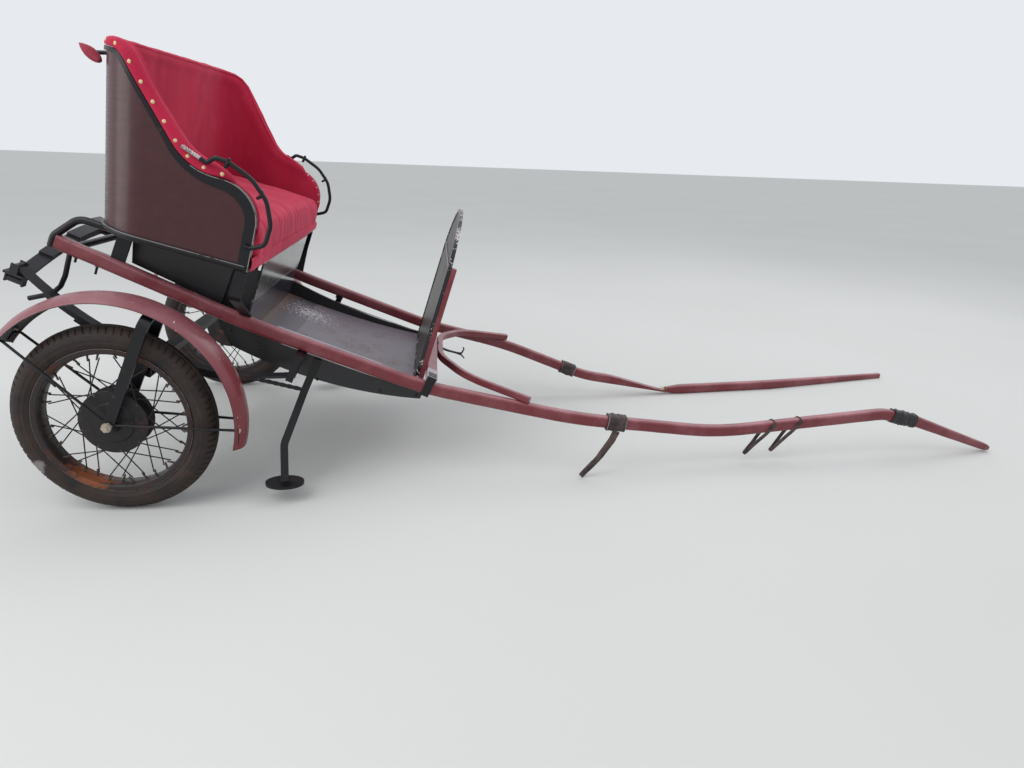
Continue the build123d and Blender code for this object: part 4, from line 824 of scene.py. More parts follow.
# each station: plan place, outward normal, edge height, foot's plan place
stations = []
reach = [0.0]
for p, q in zip(side_line, side_line[1:]):
    reach.append(reach[-1] + (q - p).length)
for p, run in zip(side_line, reach):
    foot = 200 - 315 * run / reach[-1]
    stations.append((Vector((p.x, -HALF_SEAT, 0)), Vector((0, -1, 0)), p.z, Vector((foot, -HALF_SEAT, 0))))
for k in range(13):
    a = math.radians(90 * k / 12)
    out = Vector((-math.sin(a), -math.cos(a), 0))
    at = Vector((TURN_X, -TURN_Y, 0)) + out * SEAT_CORNER
    stations.append((at, out, edge_height(at.x), at))
for k in range(1, 15):
    at = Vector((SEAT_REAR, -TURN_Y + TURN_Y * k / 15, 0))
    stations.append((at, Vector((-1, 0, 0)), BACK_TOP, at))
mirrored = [tuple(Vector((v.x, -v.y, 0)) if isinstance(v, Vector) else v for v in station)
            for station in reversed(stations)]
rear_middle = Vector((SEAT_REAR, 0, 0))
stations += [(rear_middle, Vector((-1, 0, 0)), BACK_TOP, rear_middle)] + mirrored
edge_points = [seat(s[0].x, s[0].y, s[2]) for s in stations]
frames = []
for i, (at, out, height, foot) in enumerate(stations):
    ahead = (edge_points[min(i + 1, len(stations) - 1)] - edge_points[max(i - 1, 0)]).normalized()
    base = seat(at.x, at.y, height)
    away = seat(at.x + out.x, at.y + out.y, height) - base
    away = (away - ahead * away.dot(ahead)).normalized()
    frames.append((base, away, ahead.cross(away).normalized()))
print("edge stations", len(stations))

# %% Lining, welt and roll
ROLL = [(-15.9, -2), (-15.9, 1.0), (-8, 1.2), (0.5, 1.6), (5.2, 3.5), (6.8, 10), (6.2, 20), (3, 29), (-3, 36),
        (-11, 40.5), (-19, 41.5), (-27, 40.5), (-35, 36.5), (-42, 30), (-46.5, 21), (-47.5, 12), (-46, 2),
        (-44, -8)]
FLAT = [(-15.9, -4), (-16.2, -2), (-16.8, 0), (-17.6, 1.4), (-18.8, 2.2), (-20, 2.6), (-22, 2.9), (-24, 3.1),
        (-26.5, 3.3), (-29, 3.4), (-31.5, 3.2), (-34, 2.6), (-37, 1.4), (-39.5, -0.4), (-41.4, -3),
        (-42.6, -6), (-43.2, -9), (-43.4, -12)]
WALL_STEPS = 14


def roll_height(x):
    """1 behind the arm's front, falling to 0 where the roll ends."""
    share = min(1.0, max(0.0, (150 - x) / 95))
    return math.sin(share * math.pi / 2) ** 0.8


lining_rings, welt_path, roll_share = [], [], []
for (at, out, height, foot), (base, away, rise) in zip(stations, frames):
    full = roll_height(at.x) if abs(at.y) > HALF_SEAT - 1 else 1.0
    roll_share.append(full)
    high = 1 if height > 1300 else max(0, (height - ARM_TOP) / 150)
    fuller = 0.24 * max(-1.0, min(1.0, at.y / TURN_Y)) * high
    soft = 1 + 0.05 * noise.noise(base / 55) + fuller
    ring = []
    for (a, b), (fa, fb) in zip(ROLL, FLAT):
        ring.append(base + away * (fa + (a - fa) * full) + rise * (fb + (b * soft - fb) * full))
    low, low_z = at, height - 12
    start = ring[-1]
    wall = []
    for k in range(1, WALL_STEPS + 1):
        t = k / WALL_STEPS
        plan = low.lerp(foot, t)
        z = low_z + (SOFT_BASE - low_z) * t
        lump = 3.0 * noise.noise(Vector((at.x / 70, at.y / 90, z / 160)))
        puff = 3.0 * math.sin(math.pi * min(1, t * 1.15)) + lump
        depth = min(44.5, max(40.5, 41.5 + puff))
        if z < 1040:
            depth = min(depth, 43.2)
        inner = seat(plan.x - out.x * depth, plan.y - out.y * depth, z)
        ease = max(0.0, 1 - t * 3.5)
        wall.append(inner.lerp(start + (inner - start) * min(1, t * 3.5), ease))
    back = []
    for k in range(WALL_STEPS, -1, -1):
        t = k / WALL_STEPS
        plan = low.lerp(foot, t)
        z = (height - 4) + (SOFT_BASE - (height - 4)) * t
        back.append(seat(plan.x - out.x * 15.9, plan.y - out.y * 15.9, z))
    lining_rings.append(ring + wall + back[:-1])
    welt_path.append(base + away * (-39.0 + 8 * (1 - full)) + rise * (35.5 * soft * full - 4 * (1 - full)))


def closing(ring, ahead):
    """Three rings that round off an end of the lining."""
    paired = [ring[(-j) % len(ring)] for j in range(len(ring))]
    out = []
    for pull, push in ((0.12, 2.5), (0.4, 4.5), (0.75, 5.2)):
        out.append([p.lerp((p + q) / 2, pull) + ahead * push for p, q in zip(ring, paired)])
    return out


forward = Vector((1, 0, 0.15)).normalized()
closed_rings = closing(lining_rings[0], forward)[::-1] + lining_rings + closing(lining_rings[-1], forward)
lining = piece("plush_lining", [skin(closed_rings)], lining_plush, sharp=70)
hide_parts("seat_lining")
rolled = [p for p, full in zip(welt_path, roll_share) if full > 0.25]
# The welt takes the cushion's lighter plush: a painted highlight along the roll's ridge.
welt = piece("lining_welt", [bar(rolled, oval(8, 8, 8), side=(0, 0, 1))], sat_on_and_lit_plush)
print(lining.name, len(lining.data.polygons), welt.name)

# %% [markdown]
# Round brass nails hold the roll's hem outside, one about every 57 mm, and small ones close the
# flat end of each arm. Each is a low dome on a thin rim, set square to the plush.

# %% Upholstery nails
pale_brass = rusty_iron("worn brass plate", "#D2BE92", "#8A6A48", 0.06, 0.3, 90.0)[0]


def along_edge(first, spacing, wanted):
    """Frames spaced along the edge between places where wanted says so."""
    found, left = [], first
    for i in range(len(stations) - 1):
        length = (edge_points[i + 1] - edge_points[i]).length
        if not wanted(i):
            continue
        while left <= length:
            t = left / length
            found.append(tuple(p.lerp(q, t) for p, q in zip(frames[i], frames[i + 1])))
            left += spacing
        left -= length
    return found


nails = []
for base, away, rise in along_edge(6, 57, lambda i: roll_share[i] > 0.55):
    spot = base + away * 5.6 + rise * 15
    nails.append(turned([(-2.5, 2), (-0.2, 2), (-0.2, 6.2), (0.6, 6.2)], spot, away, 12))
    nails.append(dome(spot + away * 0.5, away, 5.6, 2.6))
for base, away, rise in along_edge(8, 33, lambda i: roll_share[i] < 0.1 and abs(stations[i][0].y) > 590):
    spot = base - away * 38 + rise * -1.5
    nails.append(dome(spot - away * 0.4, (rise - away).normalized(), 4.2, 2.4))
nails = piece("brass_nails", nails, pale_brass)
print(nails.name, len(nails.data.polygons), "faces")

# %% [markdown]
# The cushion is a box of plush stuffed with hair. It fills the tub from wall to wall and stands
# over the board in front. Its top is crowned, its sides pull in between the corners and its front
# is soft from years of knees, with shallow upright folds. It starts a little small as rings
# round the tub's plan; then the cover is made a little too big and blown up as cloth, which
# gives it the puckers of a stuffed cover. No point may go further than 9 mm, so it stays in its place.

# %% Cushion
CUSHION_FRONT = 226.0


def cushion_plan(inset, count=148):
    """The cushion's outline in plan, counted from the middle of the front."""
    half, rear, front = HALF_SEAT - 47.5 - inset, SEAT_REAR + 49.5 + inset, CUSHION_FRONT - inset
    corner, tip = 100 - min(inset, 60), 15.0
    marks = [(front, 0, 0), (front, half, tip), (rear, half, corner), (rear, -half, corner),
             (front, -half, tip), (front, -0.01, 0)]
    line = bent([(x, y, 0, r) for x, y, r in marks], step=6)
    runs = [0.0]
    for p, q in zip(line, line[1:]):
        runs.append(runs[-1] + (q - p).length)
    out, i = [], 0
    for k in range(count):
        want = runs[-1] * k / count
        while runs[i + 1] < want:
            i += 1
        share = (want - runs[i]) / max(1e-6, runs[i + 1] - runs[i])
        out.append(line[i].lerp(line[i + 1], share))
    return out


def folds(p, z):
    """Soft upright folds of the front, and pulled-in sides."""
    broad = noise.noise(Vector((p.y / 26, z / 130, 3.1))) * 3.2
    narrow = noise.noise(Vector((p.y / 9, z / 80, 8.4)))
    return broad + narrow - 3.5 * math.cos(p.y / (HALF_SEAT - 50) * math.pi / 2)


# levels: inset from the full outline and height
levels = [(150, 921.5), (60, 921.2), (16, 921.4), (5, 924), (1, 931), (0, 945), (0, 965), (0, 985), (0, 1003),
          (3, 1016), (10, 1027), (22, 1034.5), (40, 1039), (70, 1043), (110, 1046.5), (150, 1049),
          (195, 1050)]
cushion_rings = []
for inset, z in levels:
    ring = []
    for p in cushion_plan(inset):
        front = min(1.0, max(0.0, (p.x - 120) / 80)) * (1 if z < 1040 else 0.3)
        lump = 3.0 * noise.noise(Vector((p.x / 120, p.y / 150, 5.0))) if z > 1030 else 0.0
        ring.append(seat(p.x + folds(p, z) * front, p.y, z + lump))
    cushion_rings.append(ring)
cushion = piece("seat_pad", [skin(cushion_rings)], sat_on_and_lit_plush, sharp=80)


def evaluated(o):
    """Replaces a piece's mesh by what its modifiers make of it."""
    graph = bpy.context.evaluated_depsgraph_get()
    data = bpy.data.meshes.new_from_object(o.evaluated_get(graph))
    o.modifiers.clear()
    finish = o.data.materials[0]
    o.data = data
    data.materials.clear()
    data.materials.append(finish)


def blown_up(o, voxel, swell, limit):
    """Stuffs a cover: even mesh, cloth under pressure for 20 frames, and one subdivision."""
    even = o.modifiers.new("even", "REMESH")
    even.mode, even.voxel_size = "VOXEL", voxel
    evaluated(o)
    before = [v.co.copy() for v in o.data.vertices]
    cloth = o.modifiers.new("cover", "CLOTH").settings
    cloth.use_pressure, cloth.uniform_pressure_force = True, 4.0
    cloth.effector_weights.gravity = 0.0
    cloth.quality, cloth.mass, cloth.shrink_min = 4, 0.3, -swell
    cloth.tension_stiffness = cloth.compression_stiffness = 20.0
    cloth.bending_stiffness = 0.4
    for number in range(1, 21):
        bpy.context.scene.frame_set(number)
    evaluated(o)
    for v, start in zip(o.data.vertices, before):
        step = v.co - start
        v.co = start + step * min(1.0, limit / max(step.length, 1e-9))
    finer = o.modifiers.new("finer", "SUBSURF")
    finer.levels = finer.render_levels = 1
    evaluated(o)
    o.data.shade_smooth()
    bpy.context.scene.frame_set(1)


blown_up(cushion, 0.008, 0.02, 0.009)
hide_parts("seat_cushion")
print(cushion.name, len(cushion.data.polygons), "faces")

# %% [markdown]
# Under the cushion's front the cover's hem hangs over the board's edge. It has come loose at the
# near end and its edge is frayed, so the hem is a strip with an uneven lower edge.

# %% Hem
def front_hem():
    """A strip along the seat's front with a torn lower edge."""
    rings = []
    for k in range(231):
        y = -597 + 1194 * k / 230
        tear = 3.5 * noise.noise(Vector((y / 16, 2.0, 0))) + 1.6 * noise.noise(Vector((y / 4.5, 5.0, 0)))
        drop = 897 + tear + (8 if y > 380 else 0)
        wave = 1.6 * noise.noise(Vector((y / 30, 0, 7.0)))
        ring = []
        for x, z in ((211.5, 940), (217 + wave, 930), (217 + wave, 915), (215 + wave * 1.5, drop),
                     (213.4 + wave * 1.5, drop), (214.6 + wave, 915), (214 + wave, 928), (209.8, 938)):
            ring.append(seat(x + (z - SEAT_BASE) * LEAN, y, z))
        rings.append(ring)
    return skin(rings)


hem = piece("cushion_hem", [front_hem()], sat_on_and_lit_plush, sharp=60)
print(hem.name, len(hem.data.polygons))

# %% [markdown]
# The iron edging is a flat half-hard strip bent along the tub's edge. It is broad down the front
# of each arm and narrows up the slope and round the back. A thin pale bead along its outer corner,
# in a second finish, is a painted highlight.

# %% Edge iron
iron_rings, bead_path = [], []
drop = [(Vector((222.4 - (1035 - z) * LEAN, -HALF_SEAT, 0)), z) for z in (896, 930, 965, 1000)]


def iron_ring(base, away, rise, width):
    """The strip's section at one place on the edge."""
    return [base + away * a + rise * b for a, b in
            ((0.4, 0), (4.2, 0.4), (5.6, -1.2), (5.6, -width + 1), (4.6, -width), (0.4, -width))]


low_frames = []
for at, z in drop:
    base = seat(at.x, at.y, z)
    low_frames.append((base, Vector((0, -1, 0)), Vector((math.cos(SEAT_PITCH), 0, math.sin(SEAT_PITCH)))))
flipped = [(Vector((b.x, -b.y, b.z)), Vector((0, 1, 0)), r) for b, _, r in reversed(low_frames)]
widths = [34.0] * 4
for at, out, height, foot in stations:
    share = min(1.0, max(0.0, (at.x + 60) / 220)) if height < 1300 else 0.0
    widths.append(13 + 21 * share)
widths += [34.0] * 4
for (base, away, rise), width in zip(low_frames + frames + flipped, widths):
    iron_rings.append(iron_ring(base, away, rise, width))
    bead_path.append(base + away * 5.2 + rise * -0.9)
edging = piece("edge_strip", [skin(iron_rings)], black_iron, sharp=30)
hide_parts("seat_edge_iron")
# The pale bead along the strip's outer corner is a painted highlight.
near = bead_path[:len(side_line) - 14]
far = bead_path[-len(side_line) + 14:]
bead = piece("edge_highlight_bead", [bar(path, oval(2.6, 2.6, 6)) for path in (near, far)], highlight_and_pale_steel)
print(edging.name, len(edging.data.polygons), bead.name)

# %% [markdown]
# Two grips to push the gig by stand out behind the back. Each is a spindle of plush
# stuffed hard over an iron, with four sewn seams that pull in between fuller panels.

# %% Back grips
for side, word in SIDES:
    low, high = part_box("back_grip_" + word)
    middle = PARKED.inverted() @ ((low + high) / 2 - AXLE) * 1000 + Vector((0, 0, AXLE_MM))
    long_way = Vector((-math.cos(math.radians(30)), side * -0.5, 0.157)).normalized()
    across = long_way.orthogonal().normalized()
    rings = []
    for k in range(41):
        t = k / 40
        r = 16.8 * math.sin(math.pi * min(1, max(0, 0.09 + 0.9 * t ** 0.85))) ** 0.85
        ring = []
        for j in range(32):
            a = math.tau * j / 32
            lump = 0.03 * noise.noise(Vector((t * 5, math.cos(a), math.sin(a))))
            panel = 1 - 0.085 * max(0.0, math.cos(4 * a)) ** 12 + lump
            way_out = across * math.cos(a) + long_way.cross(across) * math.sin(a)
            ring.append(middle + long_way * (104 * (t - 0.48)) + way_out * r * panel)
        rings.append(ring)
    grip = piece("plush_grip_" + word, [skin(rings)], grip_plush, sharp=70)
    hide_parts("back_grip_" + word)
    print(grip.name, [round(v) for v in middle])

# %% [markdown]
# A black half-round moulding runs round the tub's foot and covers the joint with the base board.
# Its section is carried along the foot's plan, and a thin pale bead on its upper edge is a
# painted highlight.

# %% Moulding
def foot_path():
    """The tub's foot in plan: x, y and the outward direction."""
    out = []
    for x in range(198, TURN_X - 1, -12):
        out.append((x, -HALF_SEAT, (0, -1)))
    for k in range(1, 13):
        a = math.radians(90 * k / 12)
        n, m = -math.sin(a), -math.cos(a)
        out.append((TURN_X + SEAT_CORNER * n, -TURN_Y + SEAT_CORNER * m, (n, m)))
    out += [(SEAT_REAR, -TURN_Y + 2 * TURN_Y * k / 30, (-1, 0)) for k in range(1, 30)]
    return out + [(x, -y, (n, -m)) for x, y, (n, m) in reversed(out[:-29])]


moulding_rings = []
for x, y, (n, m) in foot_path():
    ring = []
    for a, b in ((0.4, 2), (3, 1.5), (6.5, 4), (8.5, 9), (8.5, 13), (6.5, 18), (3, 20.5), (0.4, 20)):
        ring.append(seat(x + n * a, y + m * a, SEAT_BASE + b))
    moulding_rings.append(ring)
moulding = piece("seat_moulding", [skin(moulding_rings)], black_iron)
# A thin pale bead along the moulding's top is a painted highlight.
glint = [seat(x + n * 7.6, y + m * 7.6, SEAT_BASE + 17.6) for x, y, (n, m) in foot_path()]
glint = piece("moulding_highlight", [bar(glint, oval(2.2, 2.2, 6), side=(0, 0, 1))], highlight_and_pale_steel)
print(moulding.name, glint.name, len(moulding_rings), "rings")

# %% [markdown]
# Each arm rail is one round iron: it rises beside the seat's slope, runs over the arm, comes
# down in front of it and turns back to the tub. Ring clamps with a short screw hold it at two
# places. The bends are arcs between straight runs, given as corners with a radius.

# %% Arm rails and clamps
def hoop(spot, way, radius, wire, count=20):
    """A wire ring round a line through a spot."""
    way = Vector(way).normalized()
    a = way.orthogonal().normalized()
    b = way.cross(a)
    rings = []
    for k in range(count):
        turn = math.tau * k / count
        out = a * math.cos(turn) + b * math.sin(turn)
        rings.append([Vector(spot) + out * (radius + u) + way * v for u, v in oval(wire, wire * 1.8, 8)])
    return skin(rings, loop=True)


RAIL_Y = 612.6
rail_stations = [(-26, 1191, 0), (-5, 1187, 12), (10, 1212, 14), (50, 1216, 60), (125, 1200, 100),
                 (185, 1160, 80), (222, 1095, 80), (226, 1030, 26), (190, 1003, 20), (170, 1003, 0)]
for side, word in SIDES:
    path = bent([(x, side * RAIL_Y, z, r) for x, z, r in rail_stations], step=7)
    rail = piece("round_rail_" + word, [bar(path, oval(14, 14, 14))], black_iron)
    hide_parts("arm_rail_" + word)
    print(rail.name, len(rail.data.polygons), "faces")

clamps = []
for side in (RIGHT, LEFT):
    for x, z, way in ((48, 1207, (1, 0, -0.1)), (164, 1161, (1, 0, -0.75))):
        clamps.append(hoop((x, side * RAIL_Y, z), way, 9.5, 5))
        clamps.append(turned([(-2, 5), (9, 5), (10, 4)], (x, side * RAIL_Y, z + 11), (0.1, 0, 1), 10))
clamps = piece("rail_clamps", clamps, black_iron)
print(clamps.name)

# %% [markdown]
# A short length of silver braid is left on the near roll, and a flat black plate lies along the
# far one. The braid is a bar whose section has three lobes and turns three times on its way.

# %% Braid and plate
silver = rusty_iron("tarnished silver wire", "#B4AEAE", "#6A5E5C", 0.1, 0.35, 200.0)[0]
braid_line = [Vector((-84, -610.6, 1202)).lerp(Vector((-12, -611.6, 1189)), k / 60) for k in range(61)]
three_strands = []
for k in range(30):
    a = math.tau * k / 30
    lobe = 1 + 0.16 * math.cos(3 * a)
    three_strands.append((5.4 * math.cos(a) * lobe, 5.4 * math.sin(a) * lobe))
braid = piece("silver_braid", [bar(braid_line, three_strands, twist=math.tau * 3)], silver)
plate_rings = []
for k in range(7):
    p = Vector((-92 + 99 * k / 6, 0, 1202 - 16 * k / 6 + 2.5 * math.sin(k)))
    plate_rings.append([p + Vector((0, 604, 0)) + Vector((0, a, b))
                        for a, b in ((-11, -1.5), (11, -1.5), (11, 1.5), (-11, 1.5))])
plate = piece("flat_plate", [skin(plate_rings)], black_iron, sharp=30)
print(braid.name, plate.name)

# %% [markdown]
# The tray's floor is a grey sheet, once painted, now a lilac grey with a soft shine from shoes.
# In the corner at the seat's foot it is painted darker as shade, a rusty seam of dirt lies where
# the heel board stands, and white scuffs and brown spots are scattered over it. The marks are placed
# by a spot measured along the level gig, so the coordinates are first turned back by the parked tilt.

# %% Floor sheet
LEVEL = PARKED.inverted() @ -AXLE
floor_sheet, tree, shader, spot = material("trodden floor paint", IOR=1.5, Coat_Weight=0.2,
                                           Coat_Roughness=0.25)
level = add(tree, "Mapping", {"Vector": spot, "Location": tuple(LEVEL), "Rotation": (0, -TILT, 0)})
axes = add(tree, "SeparateXYZ", {"Vector": level})
dirt = add(tree, "TexNoise", {"Vector": spot, "Scale": 9.0, "Detail": 8.0, "Roughness": 0.65})
grit = add(tree, "TexNoise", {"Vector": spot, "Scale": 110.0, "Detail": 5.0, "Roughness": 0.6})
base = add(tree, "Mix", {"Factor": dirt, 6: "#645C68", 7: "#857B86"})
# Behind a ragged line near the seat's foot the floor is painted darker: painted shade in the corner.
edge = add(tree, "Math", {0: dirt, 1: 0.04, 2: axes.outputs["X"]}, operation="MULTIPLY_ADD")
shade = add(tree, "MapRange", {"Value": edge, "From Min": 0.392, "From Max": 0.384, "To Max": 0.75})
with_painted_shade = add(tree, "Mix", {"Factor": shade, 6: base, 7: "#453F4B"})
freckle = add(tree, "Math", {0: dirt, 1: grit}, operation="ADD")
spots = add(tree, "MapRange", {"Value": freckle, "From Min": 1.06, "From Max": 1.16, "To Max": 0.75})
soiled = add(tree, "Mix", {"Factor": spots, 6: with_painted_shade, 7: "#5C463C"})
seam_edge = add(tree, "Math", {0: grit, 1: 0.09, 2: axes.outputs["X"]}, operation="MULTIPLY_ADD")
seam = add(tree, "MapRange", {"Value": seam_edge, "From Min": 0.335, "From Max": 0.288, "To Max": 0.85})
rusty = add(tree, "Mix", {"Factor": seam, 6: soiled, 7: "#6B5044"})
away = add(tree, "VectorMath", {0: level, 1: (0.365, 0.215, 0.345)}, operation="DISTANCE")
flecks = add(tree, "Math", {0: grit, 1: -0.9, 2: away}, operation="MULTIPLY_ADD")
scuff = add(tree, "MapRange", {"Value": flecks, "From Min": -0.40, "From Max": -0.45})
chalk = add(tree, "Mix", {"Factor": scuff, 6: rusty, 7: "#D8D4D6"})
rough = add(tree, "MapRange", {"Value": dirt, "To Min": 0.28, "To Max": 0.6})
ripple = add(tree, "Bump", {"Height": dirt, "Strength": 0.25, "Distance": 0.003})
fill(shader, {"Base Color": chalk, "Roughness": rough, "Normal": ripple})
clothe(floor_sheet, "floor_pan")
print("floor", floor_sheet.name)

# %% [markdown]
# Under the seat's front a clear acrylic sheet runs down to the floor. Its lower part is dark grey
# and opaque, and above a level line you look through it. Thin plastic is smooth, with fine
# scratches and dust that make it a little milky, and a clear sheet's sawn edge shows pale.

# %% Clear heel board
acrylic, tree, shader, spot = material("scratched acrylic sheet", IOR=1.49)
level = add(tree, "Mapping", {"Vector": spot, "Location": tuple(LEVEL), "Rotation": (0, -TILT, 0)})
axes = add(tree, "SeparateXYZ", {"Vector": level})
dust = add(tree, "TexNoise", {"Vector": spot, "Scale": 12.0, "Detail": 8.0, "Roughness": 0.7})
# Below a level line the sheet is dark grey and opaque.
clear = add(tree, "MapRange", {"Value": axes.outputs["Z"], "From Min": 0.468, "From Max": 0.478})
tone = add(tree, "Mix", {"Factor": clear, 6: "#3C3842", 7: "#DCE2DE"})
grey = add(tree, "Mix", {"Factor": dust, 6: tone, 7: "#6A636A"}, clamp_factor=True)
weak = add(tree, "MapRange", {"Value": dust, "From Min": 0.4, "From Max": 0.8, "To Max": 0.5})
fill(grey, {"Factor": weak})
haze = add(tree, "MapRange", {"Value": dust, "To Min": 0.04, "To Max": 0.3})
fill(shader, {"Transmission Weight": clear, "Base Color": grey, "Roughness": haze})
clothe(acrylic, "heel_board")
print("heel board", acrylic.name)

# %% [markdown]
# The dashboard is patent leather stitched over an iron frame. Patent is leather under a thick
# shiny lacquer; with age the lacquer cracks, and along the frame it flakes off to pale
# leather in hundreds of small bits. So the panel has a clean coat with fine cracks, and the
# edge is mottled black and white: partly flaked lacquer, partly painted highlight, more of it towards the
# top.

# %% Patent leather
patent, tree, shader, spot = material("cracked patent leather", IOR=1.5, Coat_Weight=0.15, Coat_Roughness=0.3,
                               Specular_IOR_Level=0.3)
cells = add(tree, "TexVoronoi", {"Vector": spot, "Scale": 55.0}, feature="DISTANCE_TO_EDGE")
cloud = add(tree, "TexNoise", {"Vector": spot, "Scale": 6.0, "Detail": 6.0, "Roughness": 0.6})
crack = add(tree, "MapRange", {"Value": cells, "From Max": 0.03, "To Min": 0.35, "To Max": 0.0})
tone = add(tree, "Mix", {"Factor": cloud, 6: "#1C1B1B", 7: "#45423A"})
lined = add(tree, "Mix", {"Factor": crack, 6: tone, 7: "#6E6862"})
rough = add(tree, "MapRange", {"Value": cloud, "To Min": 0.34, "To Max": 0.55})
dips = add(tree, "Bump", {"Height": cloud, "Strength": 0.35, "Distance": 0.006})
grain = add(tree, "Bump", {"Height": cells, "Strength": 0.3, "Distance": 0.0008, "Normal": dips})
fill(shader, {"Base Color": lined, "Roughness": rough, "Coat Normal": dips, "Normal": grain})
clothe(patent, "dash_panel")

flaking_and_highlight, tree, shader, spot = material("flaking patent edge", IOR=1.5)
bits = add(tree, "TexNoise", {"Vector": spot, "Scale": 130.0, "Detail": 6.0, "Roughness": 0.65})
zones = add(tree, "TexNoise", {"Vector": spot, "Scale": 14.0, "Detail": 3.0})
height = add(tree, "SeparateXYZ", {"Vector": spot}).outputs["Z"]
# More pale marks towards the top: partly flaking, partly painted highlight on the frame's upper edges.
high = add(tree, "MapRange", {"Value": height, "From Min": 0.72, "From Max": 0.97, "To Max": 0.07})
sum_a = add(tree, "Math", {0: bits, 1: zones}, operation="ADD")
sum_b = add(tree, "Math", {0: sum_a, 1: high}, operation="ADD")
flake_and_highlight = add(tree, "MapRange", {"Value": sum_b, "From Min": 1.12, "From Max": 1.15})
pale_flake_and_highlight = add(tree, "Mix", {"Factor": bits, 6: "#8E868C", 7: "#DDD6DA"})
mottled = add(tree, "Mix", {"Factor": flake_and_highlight, 6: "#141318", 7: pale_flake_and_highlight})
rough = add(tree, "MapRange", {"Value": flake_and_highlight, "To Min": 0.22, "To Max": 0.85})
lift = add(tree, "Bump", {"Height": flake_and_highlight, "Strength": 0.6, "Distance": -0.001})
fill(shader, {"Base Color": mottled, "Roughness": rough, "Normal": lift})
clothe(flaking_and_highlight, "dash_frame")
print("dashboard", patent.name, flaking_and_highlight.name)

# %% [markdown]
# Harness leather goes brown and dull, black where it is oiled and pale along its rubbed edges.
# The collars, loops and wrap are one finish with slow patches and a fine pebble grain.

# %% Harness leather
leather, tree, shader, spot = material("worn harness leather", IOR=1.5)
patches = add(tree, "TexNoise", {"Vector": spot, "Scale": 22.0, "Detail": 6.0, "Roughness": 0.6})
pebble = add(tree, "TexVoronoi", {"Vector": spot, "Scale": 500.0})
ramp = add(tree, "MapRange", {"Value": patches, "From Min": 0.38, "From Max": 0.7})
tone = add(tree, "Mix", {"Factor": ramp, 6: "#1B1618", 7: "#5E4A46"})
rough = add(tree, "MapRange", {"Value": patches, "To Min": 0.4, "To Max": 0.75})
creased = add(tree, "Bump", {"Height": patches, "Strength": 0.5, "Distance": 0.003})
fine = add(tree, "Bump", {"Height": pebble, "Strength": 0.25, "Distance": 0.0004, "Normal": creased})
fill(shader, {"Base Color": tone, "Roughness": rough, "Normal": fine})
clothe(leather, "tug_stops", "shaft_loops", "shaft_wrap")
print("leather", leather.name)

# %% [markdown]
# Small things on the tray and shafts: a zinc strip let into the sound shaft's inner corner
# where boots go over it, a pale line along each side panel's top edge that is a painted
# reflection, plates on the splinter bar's ends with a nail in each, and the square irons that
# brace the steps, which the smith twisted for looks.

# %% Tray fittings
zinc_strip = rusty_iron("boot-worn zinc", "#A9A5B2", "#57484A", 0.06, 0.3, 40.0)[0]
reflection_line_finish = rusty_iron("painted reflection on deal", "#C9C2C6", "#4A4044", 0.1, 0.7, 60.0)[0]

strip_rings = []
for k in range(41):
    p = at_x(sound_path, 332 + 374 * k / 40)[0]
    strip_rings.append([p + Vector((0, a, b)) for a, b in
                        ((8, 22.9), (8, 24.1), (17, 23.9), (19.8, 20.5), (20, 5), (19, 5), (18.8, 16))])
strip = piece("boot_strip", [skin(strip_rings)], zinc_strip, sharp=30)
# A thin pale line along each side panel's top edge is a painted reflection.
lines = []
for side in (RIGHT, LEFT):
    path = bent([(x, side * (PANEL_Y + 0.3), z, r)
                 for x, z, r in ((350, 690, 0), (572, 702, 2400), (798, 718, 0))])
    lines.append(bar(path, oval(2.0, 4.2, 6)))
lines = piece("panel_edge_reflection", lines, reflection_line_finish)
twisted = []
for side in (RIGHT, LEFT):
    path = straight((482, side * (PANEL_Y + 5.3), 561.4), (18, side * (PANEL_Y + 5.3), 480.3), 90)
    twisted.append(bar(path, soft_square(12.5, 12.5, 1.4, 1), twist=math.tau * 5))
twisted = piece("twisted_stays", twisted, spring_steel, sharp=30)
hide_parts("step_stays")
print(strip.name, lines.name, twisted.name)

# %% [markdown]
# A flat iron plate wraps each end of the splinter bar, rubbed to pale grey, with two nails in its
# top. It is skinned as rings along the bar, and the outer rings are drawn in to soften its edges.

# %% Bar end plates
worn_plate = rusty_iron("rubbed plate iron", "#A7A0A6", "#6A4A44", 0.14, 0.4, 50.0)[0]
bar_base = at_x(sound_path, 902)[0].z + 23.6
plates = []
for side in (RIGHT, LEFT):
    rings = []
    for y in (396, 397, 440, 491, 492):
        grow = 1.6 if 396.5 < y < 491.5 else 0.4
        rings.append([(884 + a, side * y, bar_base + b) for a, b in
                      ((-18 - grow, 0.2), (-18 - grow, 22 + grow), (18 + grow, 22 + grow), (18 + grow, 0.2),
                       (17.8, 0.2), (17.8, 21.8), (-17.8, 21.8), (-17.8, 0.2))])
    plates.append(skin(rings))
    for y in (410, 474):
        plates.append(dome((884, side * y, bar_base + 23.4), (0, 0, 1), 4.5, 2.0))
plates = piece("bar_end_plates", plates, worn_plate, sharp=30)
print(plates.name, "on the bar at", round(bar_base), "mm")

# %% [markdown]
# Each leather collar is bound with steel wire near both its ends. A wire is a small round section
# carried round a soft square that stands square to the shaft there.

# %% Collar wires
bindings = []
for shaft_path in (sound_path, stub_path):
    for x in (1573, 1643):
        spot, way = at_x(shaft_path, x)
        rim_up = way.cross(ACROSS).normalized()
        rings = []
        for u, v in soft_square(51.5, 59.5, 14, 4):
            reach_out = ACROSS * u + rim_up * v
            out = reach_out.normalized()
            rings.append([spot + reach_out + out * a + way * b for a, b in oval(3.2, 3.2, 6)])
        bindings.append(skin(rings, loop=True))
bindings = piece("collar_wires", bindings, highlight_and_pale_steel)
print(bindings.name, len(bindings.data.polygons), "faces")

# %% [markdown]
# Round bolt heads hold the side panels outside, and a row of small nails follows each panel's
# upper edge inside. Near the rear two bolts reach down under each shaft, with a nut on each.

